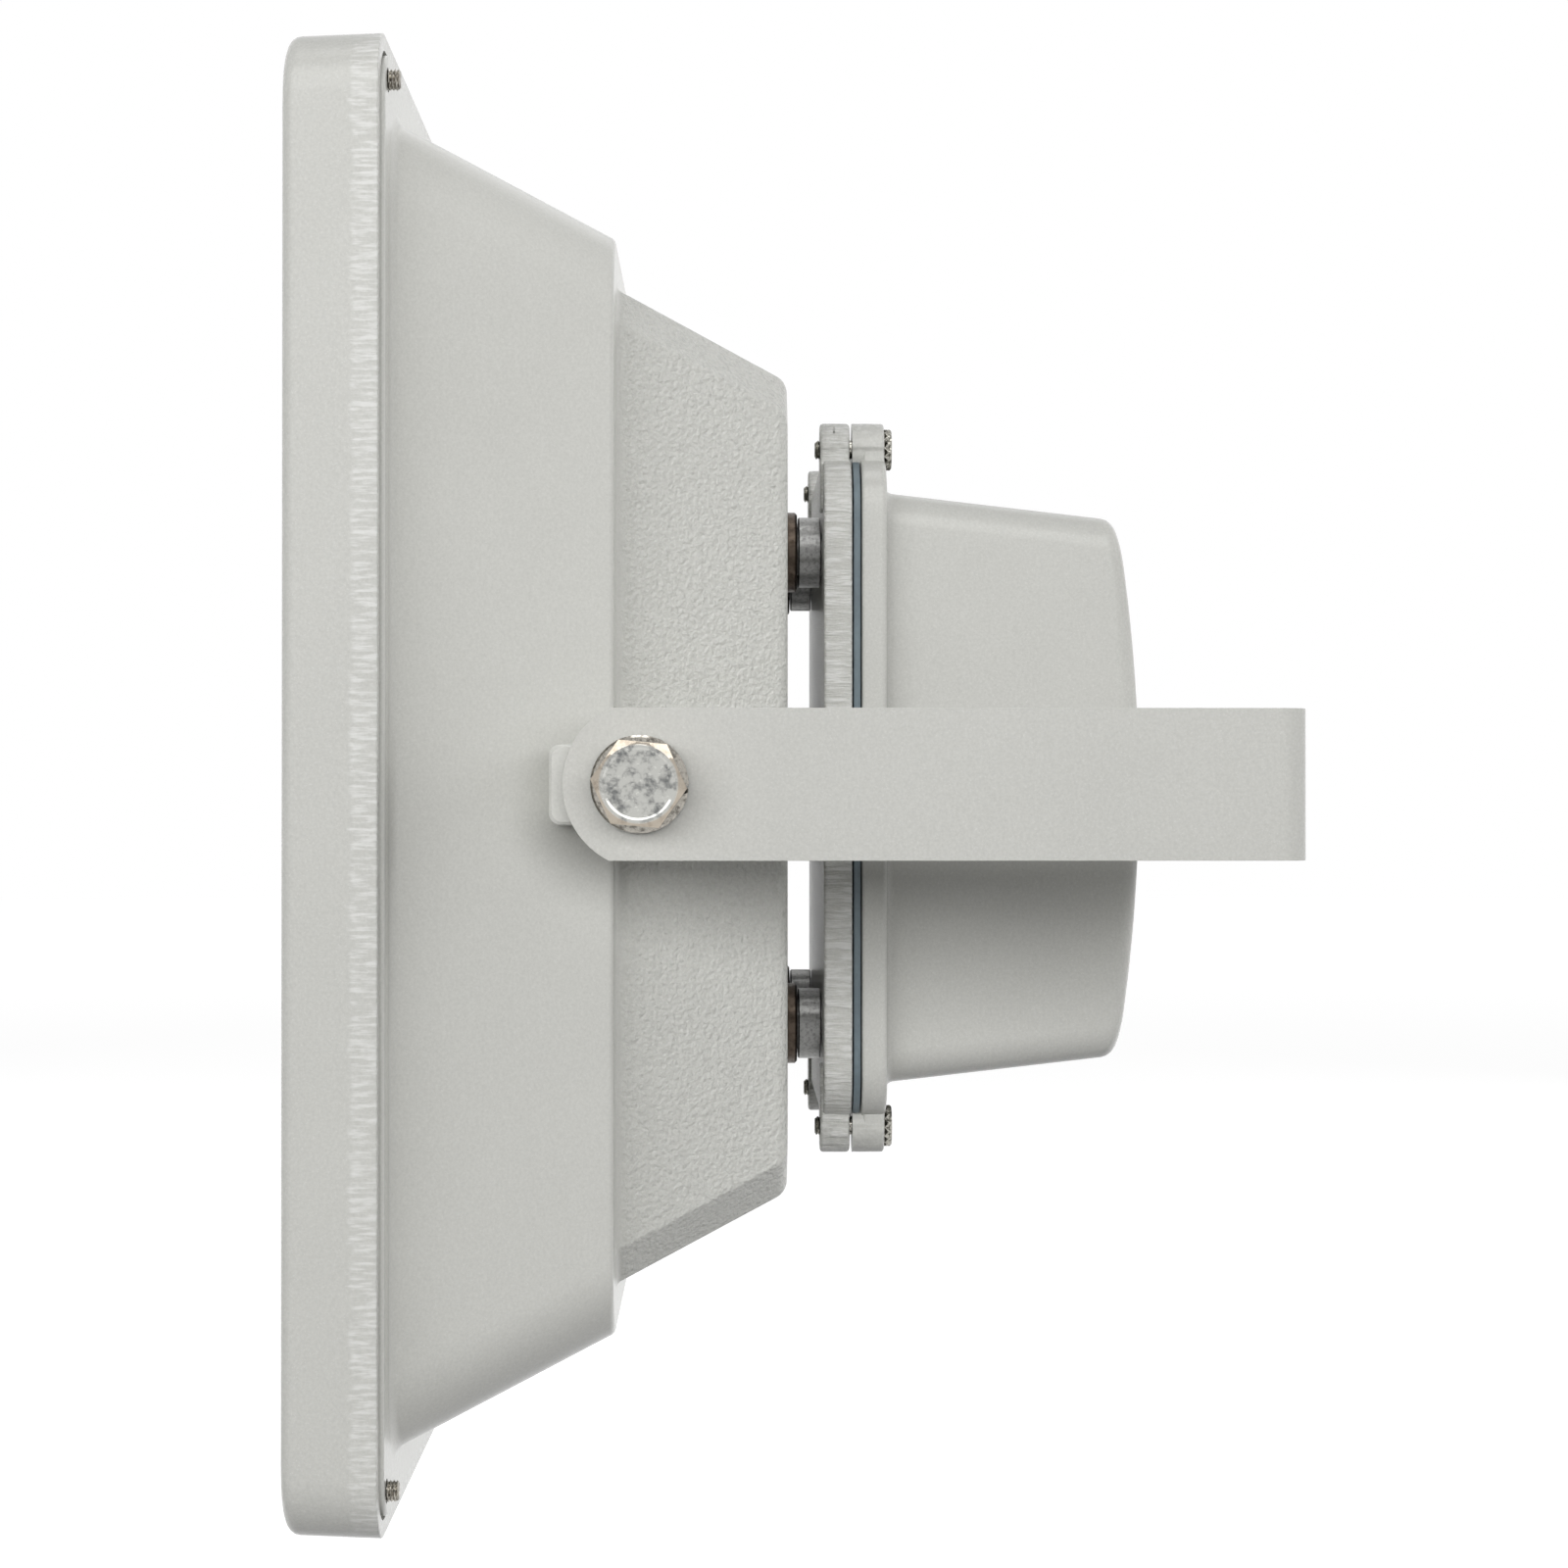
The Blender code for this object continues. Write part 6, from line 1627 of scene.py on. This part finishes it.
    def _cover(self) -> Solid:
        """The shell with its ears, screw seats and the gland's pad."""
        front, rear = self.base[1] + GAP, self.flange_rear - self.ear_setback
        cover = self._with_ears(self._shell(), self.cover_front + self.ear_proud, rear)
        ears, ear_pad_rear = corners(*self.ear), rear - self.ear_pad_setback
        station, face, seat = GLAND_PLACE
        diameter, floor = self.head_pocket
        pad = Solid.bores([(station, 0)], self.pad, seat, face, "Y").softened(self.pad_edge)
        cover.combine(Operation.JOIN, Solid.bores(ears, 2 * self.ear_radius, front, ear_pad_rear), pad)
        return cover.combine(
            Operation.CUT,
            Solid.bores(ears, diameter, floor, rear + OVERRUN),
            Solid.bores(ears, HOLE_M5, front - OVERRUN, rear + OVERRUN),
            Solid.bores([(station, 0)], GLAND_HOLE, seat - OVERRUN, face + OVERRUN, "Y"),
        )

    def build(self) -> None:
        """Base, gasket, cover and screws."""
        self.show("box_base", self._base(), BASE_COAT, ["driver_box_base"])
        self.show("box_gasket", self._gasket(), BLUE_RUBBER, ["driver_gasket"])
        self.show("box_cover", self._cover(), COVER_COAT, ["driver_box_cover"])
        screw = Screw(
            head_diameter=0.0107,
            head=0.0055,
            diameter=0.005,
            length=0.0144,
            socket=0.005,
            socket_depth=0.003,
            pitch=0.0008,
            thread=0.0032,
            ridges=14,
        )
        self.four(
            "box_screw", screw.solid(), KNURL_STEEL, "cover_screw", self.screw_seat, self.ear, Along.REAR
        )


class BoxContents(Assembly):
    """What the driver box hides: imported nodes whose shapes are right."""

    def build(self) -> None:
        """Dresses the driver, its screws, the terminals and the lead."""
        finishes = {
            "led_driver": MILLED,
            "driver_screw_1": SCREW_STEEL,
            "driver_screw_2": SCREW_STEEL,
            "terminal_block": NYLON,
            "led_lead": JACKET,
        }
        for node, finish in finishes.items():
            self.dress(node, finish)


@dataclass
class Pivots(Assembly):
    """A hexagon bolt and a split washer at each end of the tilt axis."""

    flats: float = 0.019
    head: float = 0.0075
    diameter: float = 0.012
    length: float = 0.030
    setback: float = 0.0006
    turn: float = math.radians(-5.5)
    bolt_seat: float = 0.1659
    dish: float = 0.0002
    dish_rim: Point = (0.0012, 0.0007)
    face_edge: float = 0.0001
    thread: float = 0.008
    thread_pitch: float = 0.00175
    thread_depth: float = 0.0009
    thread_row: float = 0.0002
    tip: float = 0.0012
    crisp: float = 20
    washer: Triple = (0.0063, 0.0112, 0.0028)
    washer_seat: float = 0.1628
    washer_chamfer: float = 0.0005
    slit: float = 0.0016
    slit_reach: float = 0.02
    slit_slant: float = math.radians(25)

    def _head(self) -> Solid:
        """The hexagon head, turned down to a round face with a shallow dish."""
        reach, face = self.flats / math.sqrt(3) + self.setback, self.flats / 2 - self.setback
        shoulder = self.head - (reach - face) * HEX_CHAMFER
        dish, rim = (face - width for width in self.dish_rim)
        profile = [(0, self.head - self.dish), (dish, self.head - self.dish), (rim, self.head)]
        profile += [(face - self.face_edge, self.head), (face, self.head - self.face_edge)]
        profile += [(reach, shoulder), (reach, 0), (0, 0)]
        prism = Solid.plate([hexagon(self.flats, self.turn)], -OVERRUN, self.head + OVERRUN, "Z")
        return Solid.turned(profile, steps=HEAD_STEPS).combine(Operation.MEET, prism)

    def _bolt(self) -> Solid:
        """The head on its shank."""
        radius, end, middle = self.diameter / 2, -self.length, self.head / 2
        top = end + self.thread
        profile = [(0, middle), (radius, middle)]
        profile += rows_between(radius, top, end + self.thread_depth, self.thread_row)
        profile += [(radius - self.tip, end), (0, end)]
        thread = threaded(radius, self.thread_pitch, self.thread_depth, (end, top))
        return self._head().combine(Operation.JOIN, Solid.turned(profile, relief=thread))

    def _washer(self) -> Solid:
        """The split ring, its cut at a slant."""
        inner, outer, thick = self.washer
        profile = chamfered_ring(inner, outer, 0, thick, self.washer_chamfer)
        half, reach = self.slit / 2, self.slit_reach
        slit = Solid.boxes([((0, -half, -reach), (reach, half, reach))])
        slit = slit.moved(Matrix.Rotation(self.slit_slant, 4, "X"))
        return Solid.turned(profile, ring=True).combine(Operation.CUT, slit)

    def build(self) -> None:
        """A bolt and a washer on each side."""
        bolt, washer = self._bolt(), self._washer()
        for side, way, turn in (("near", -1, Along.NEAR), ("far", 1, Along.FAR)):
            at = (0, self.bolt_seat * way, 0)
            self.show(f"tilt_bolt_{side}", bolt, BOLT_STEEL, [f"pivot_bolt_{side}"], at, turn, self.crisp)
            at = (0, self.washer_seat * way, 0)
            self.show(f"tilt_washer_{side}", washer, SCREW_STEEL, [f"lock_washer_{side}"], at, turn)


@dataclass
class CableGland(Assembly):
    """The cable gland in the cover's far side, made about its own axis."""

    flats: float = 0.024
    bore: float = 0.012
    neck: float = 0.0085
    neck_root: float = 0.003
    neck_top: float = 0.0163
    chamfer: float = 0.0006
    flange_top: float = 0.0063
    flange_setback: float = 0.0007
    thread: float = 0.0097
    thread_past_seat: float = 0.0063
    thread_pitch: float = 0.0015
    thread_depth: float = 0.0007
    thread_row: float = 0.00019
    tip: float = 0.0012
    seal_bore: float = 0.0035
    seal_height: float = 0.0035
    nut_lift: float = 0.001
    nut_height: float = 0.009
    nut_root: float = 0.0045
    nut_edge: float = 0.0005
    nut_clearance: float = 0.0003
    dome_end: float = 0.002
    dome_radii: Point = (0.0092, 0.012)
    dome_bow: float = 0.0004
    dome_rows: int = 8
    locknut_flats: float = 0.027
    locknut_height: float = 0.005

    def _cap(self, start: float, end: float, setback: float) -> Solid:
        """A hexagon with its top corners turned down."""
        reach, face = self.flats / math.sqrt(3) + setback, self.flats / 2 - setback
        shoulder = end - (reach - face) * HEX_CHAMFER
        profile = [(0, end), (face, end), (reach, shoulder), (reach, start), (0, start)]
        prism = Solid.plate([hexagon(self.flats)], start - OVERRUN, end + OVERRUN, "Z")
        return Solid.turned(profile, steps=GLAND_STEPS).combine(Operation.MEET, prism)

    def _stem(self) -> Solid:
        """The body: hexagon flange, plain neck, and the thread through the cover's wall."""
        _, face, seat = GLAND_PLACE
        inner_end = seat - face - self.thread_past_seat
        middle = self.flange_top - self.neck_root
        neck, top, chamfer = self.neck, self.neck_top, self.chamfer
        profile = [(0, top), (neck - chamfer, top), (neck, top - chamfer), (neck, middle)]
        profile.append((self.thread, middle))
        profile += rows_between(self.thread, 0, inner_end + chamfer, self.thread_row)
        profile += [(self.thread - self.tip, inner_end), (0, inner_end)]
        thread = threaded(self.thread, self.thread_pitch, self.thread_depth, (inner_end, GAP))
        stem = self._cap(GAP, self.flange_top, self.flange_setback)
        stem.combine(Operation.JOIN, Solid.turned(profile, relief=thread))
        return stem.combine(
            Operation.CUT, Solid.bores([(0, 0)], self.bore, inner_end - OVERRUN, top + OVERRUN, "Z")
        )

    def _dome_curve(self, top: float, bottom: float) -> list[Point]:
        """Points down the cap nut's slightly bowed shoulder."""
        inner, outer = self.dome_radii
        rows = []
        for step in range(1, self.dome_rows + 1):
            share = step / self.dome_rows
            bow = math.sin(math.pi * share) * self.dome_bow
            rows.append((inner + (outer - inner) * share + bow, top + (bottom - top) * share))
        return rows

    def _cap_nut(self, seal_end: float) -> Solid:
        """The domed nut that presses the seal, open for a cable."""
        start = self.flange_top + self.nut_lift
        hex_end, ceiling, root = start + self.nut_height, seal_end + GAP, start + self.nut_root
        end = ceiling + self.dome_end
        inner, outer = self.dome_radii
        dome = [(0, end), (inner, end), *self._dome_curve(end, hex_end), (outer, root), (0, root)]
        nut = Solid.plate([hexagon(self.flats)], start, hex_end, "Z").softened(self.nut_edge, 3, 40)
        nut.combine(Operation.JOIN, Solid.turned(dome, steps=GLAND_STEPS))
        return nut.combine(
            Operation.CUT,
            Solid.bores([(0, 0)], 2 * (self.neck + self.nut_clearance), start - OVERRUN, ceiling, "Z"),
            Solid.bores([(0, 0)], self.bore, start, end + OVERRUN, "Z"),
        )

    def build(self) -> None:
        """Body, seal, nut and locknut."""
        station, face, seat = GLAND_PLACE
        at = (station, face, 0)
        self.show("gland_stem", self._stem(), NICKEL, ["gland_body"], at, Along.FAR)
        seal_start = self.neck_top + GAP
        seal_end = seal_start + self.seal_height
        profile = chamfered_ring(self.seal_bore, self.neck, seal_start, seal_end, self.chamfer)
        self.show("gland_seal_ring", Solid.turned(profile, ring=True), JACKET, ["gland_seal"], at, Along.FAR)
        self.show("gland_cap_nut", self._cap_nut(seal_end), NICKEL, ["gland_nut"], at, Along.FAR)
        locknut = Solid.plate([hexagon(self.locknut_flats)], -self.locknut_height, 0, "Z")
        locknut.softened(self.nut_edge, 2)
        hole = Solid.bores([(0, 0)], GLAND_HOLE, -self.locknut_height - OVERRUN, OVERRUN, "Z")
        locknut.combine(Operation.CUT, hole)
        at = (station, seat - GAP, 0)
        self.show("gland_lock_ring", locknut, NICKEL, ["gland_locknut"], at, Along.FAR)


# Studio


@dataclass
class Softbox:
    """A rectangular lamp that faces the light's middle, seen in gloss, by matt surfaces, or by both."""

    name: str
    azimuth: float
    elevation: float
    distance: float
    size: Point
    power: float
    gloss: bool = True
    matt: bool = True

    def build(self, target: Vector) -> None:
        """Places the lamp, turned to the target."""
        azimuth, elevation = math.radians(self.azimuth), math.radians(self.elevation)
        level = math.cos(elevation)
        away = Vector((math.sin(azimuth) * level, -math.cos(azimuth) * level, math.sin(elevation)))
        light = bpy.data.lights.new(self.name, "AREA")
        light.shape = "RECTANGLE"
        light.size, light.size_y = self.size
        light.energy = self.power
        obj = bpy.data.objects.new(self.name, light)
        obj.location = target + away * self.distance
        obj.rotation_euler = (-away).to_track_quat("-Z", "Y").to_euler()
        obj.visible_camera = False
        obj.visible_glossy = self.gloss
        obj.visible_diffuse = self.matt
        bpy.context.scene.collection.objects.link(obj)


@dataclass
class Studio:
    """The floor, the lamps, the surroundings and the camera."""

    floor_level: float = -0.27
    floor_radius: float = 9.0
    floor_segments: int = 96
    paper_tones: Point = (0.17, 0.19)
    seen_tone: float = 0.90
    near_glow: float = 0.905
    glow_fade: Point = (1.2, 4.5)
    glow_share: float = 0.7
    ambient: float = 0.01
    camera_at: Triple = (-0.134, -0.901, -0.006)
    camera_turn: Triple = (math.radians(90.47), 0.0, math.radians(-1.04))
    lens: float = 74.25
    sensor: float = 36
    target: Triple = (-0.12, 0.0, 0.0)
    softboxes: tuple[Softbox, ...] = (
        Softbox("key_softbox", -8, 13.5, 1.8, (3.2, 0.70), 39, gloss=False),
        Softbox("sheen_panel", -2, 38, 1.8, (3.0, 1.1), 20, matt=False),
        Softbox("top_softbox", -10, 82, 1.8, (0.7, 0.5), 3),
        Softbox("side_softbox", 98, 12, 2.0, (1.7, 1.7), 23, gloss=False),
        Softbox("rear_softbox", 165, 50, 2.4, (1.4, 1.4), 3),
        Softbox("far_right_softbox", 135, 6, 2.2, (1.2, 1.4), 16, gloss=False),
        Softbox("far_left_softbox", -125, 6, 2.2, (1.6, 1.4), 26, gloss=False),
    )

    @staticmethod
    def _seen(graph: Graph) -> Signal:
        """1 for rays that show the surroundings: from the camera, by reflection or through glass."""
        path = graph.add("ShaderNodeLightPath")
        kinds = ("Is Camera Ray", "Is Glossy Ray", "Is Transmission Ray")
        camera, glossy, transmission = (Signal(graph, path.outputs[kind]) for kind in kinds)
        return (camera + glossy + transmission).step(0, 1)

    def _floor(self) -> None:
        """A pale round floor that keeps the light's shadow."""
        bm = bmesh.new()
        bmesh.ops.create_circle(bm, cap_ends=True, segments=self.floor_segments, radius=self.floor_radius)
        mesh = bpy.data.meshes.new("floor")
        bm.to_mesh(mesh)
        bm.free()
        floor = bpy.data.objects.new("floor", mesh)
        floor.location = (0, 0, self.floor_level)
        bpy.context.scene.collection.objects.link(floor)
        material = bpy.data.materials.new("floor_paper")
        material.use_nodes = True
        self._paper(Graph(material.node_tree, "ShaderNodeOutputMaterial"))
        mesh.materials.append(material)

    def _paper(self, graph: Graph) -> None:
        """Paper that throws little light up, and looks white from where it is seen."""
        fibre = graph.noise(400, 3)
        seen = self._seen(graph)
        dim = graph.mix(fibre, *(grey(tone) for tone in self.paper_tones))
        tone = graph.mix(seen, dim, grey(self.seen_tone))
        paper = graph.add("ShaderNodeBsdfDiffuse", None, {"Color": tone})
        across, along, _ = graph.axes()
        away = ((across * across + along * along) ** 0.5).step(*self.glow_fade)
        white = graph.mix(away, grey(self.near_glow), grey(1))
        glow = graph.add("ShaderNodeEmission", None, {"Color": white, "Strength": 1 / self.glow_share})
        inputs = {0: seen * self.glow_share, 1: paper.outputs[0], 2: glow.outputs[0]}
        graph.finish(graph.add("ShaderNodeMixShader", None, inputs))

    def _surroundings(self) -> None:
        """Even light from all round, seen as plain white."""
        world = bpy.data.worlds.new("studio")
        bpy.context.scene.world = world
        world.use_nodes = True
        graph = Graph(world.node_tree, "ShaderNodeOutputWorld")
        light, white = (
            graph.add("ShaderNodeBackground", None, {"Color": grey(1), "Strength": strength})
            for strength in (self.ambient, 1.0)
        )
        inputs = {0: self._seen(graph), 1: light.outputs[0], 2: white.outputs[0]}
        graph.finish(graph.add("ShaderNodeMixShader", None, inputs))

    def _camera(self) -> None:
        """The camera at the photograph's angle."""
        camera = bpy.data.objects.new("camera", bpy.data.cameras.new("camera"))
        camera.location = self.camera_at
        camera.rotation_euler = self.camera_turn
        camera.data.lens = self.lens
        camera.data.sensor_width = self.sensor
        camera.data.dof.use_dof = False
        bpy.context.scene.collection.objects.link(camera)
        bpy.context.scene.camera = camera
        bpy.context.scene.view_settings.view_transform = "Standard"

    def build(self) -> None:
        """Floor, surroundings, lamps and camera."""
        self._floor()
        self._surroundings()
        for softbox in self.softboxes:
            softbox.build(Vector(self.target))
        self._camera()
        LOG.info("studio ready")


def main() -> None:
    """Builds every sub-assembly and the studio."""
    logging.basicConfig(level=logging.INFO, format="%(name)s: %(message)s")
    for part in (
        YokeBracket(),
        CastHousing(),
        FrontDoor(),
        LightSource(),
        StandOffs(),
        DriverBox(),
        BoxContents(),
        Pivots(),
        CableGland(),
        Studio(),
    ):
        part.build()


if __name__ == "__main__":
    main()
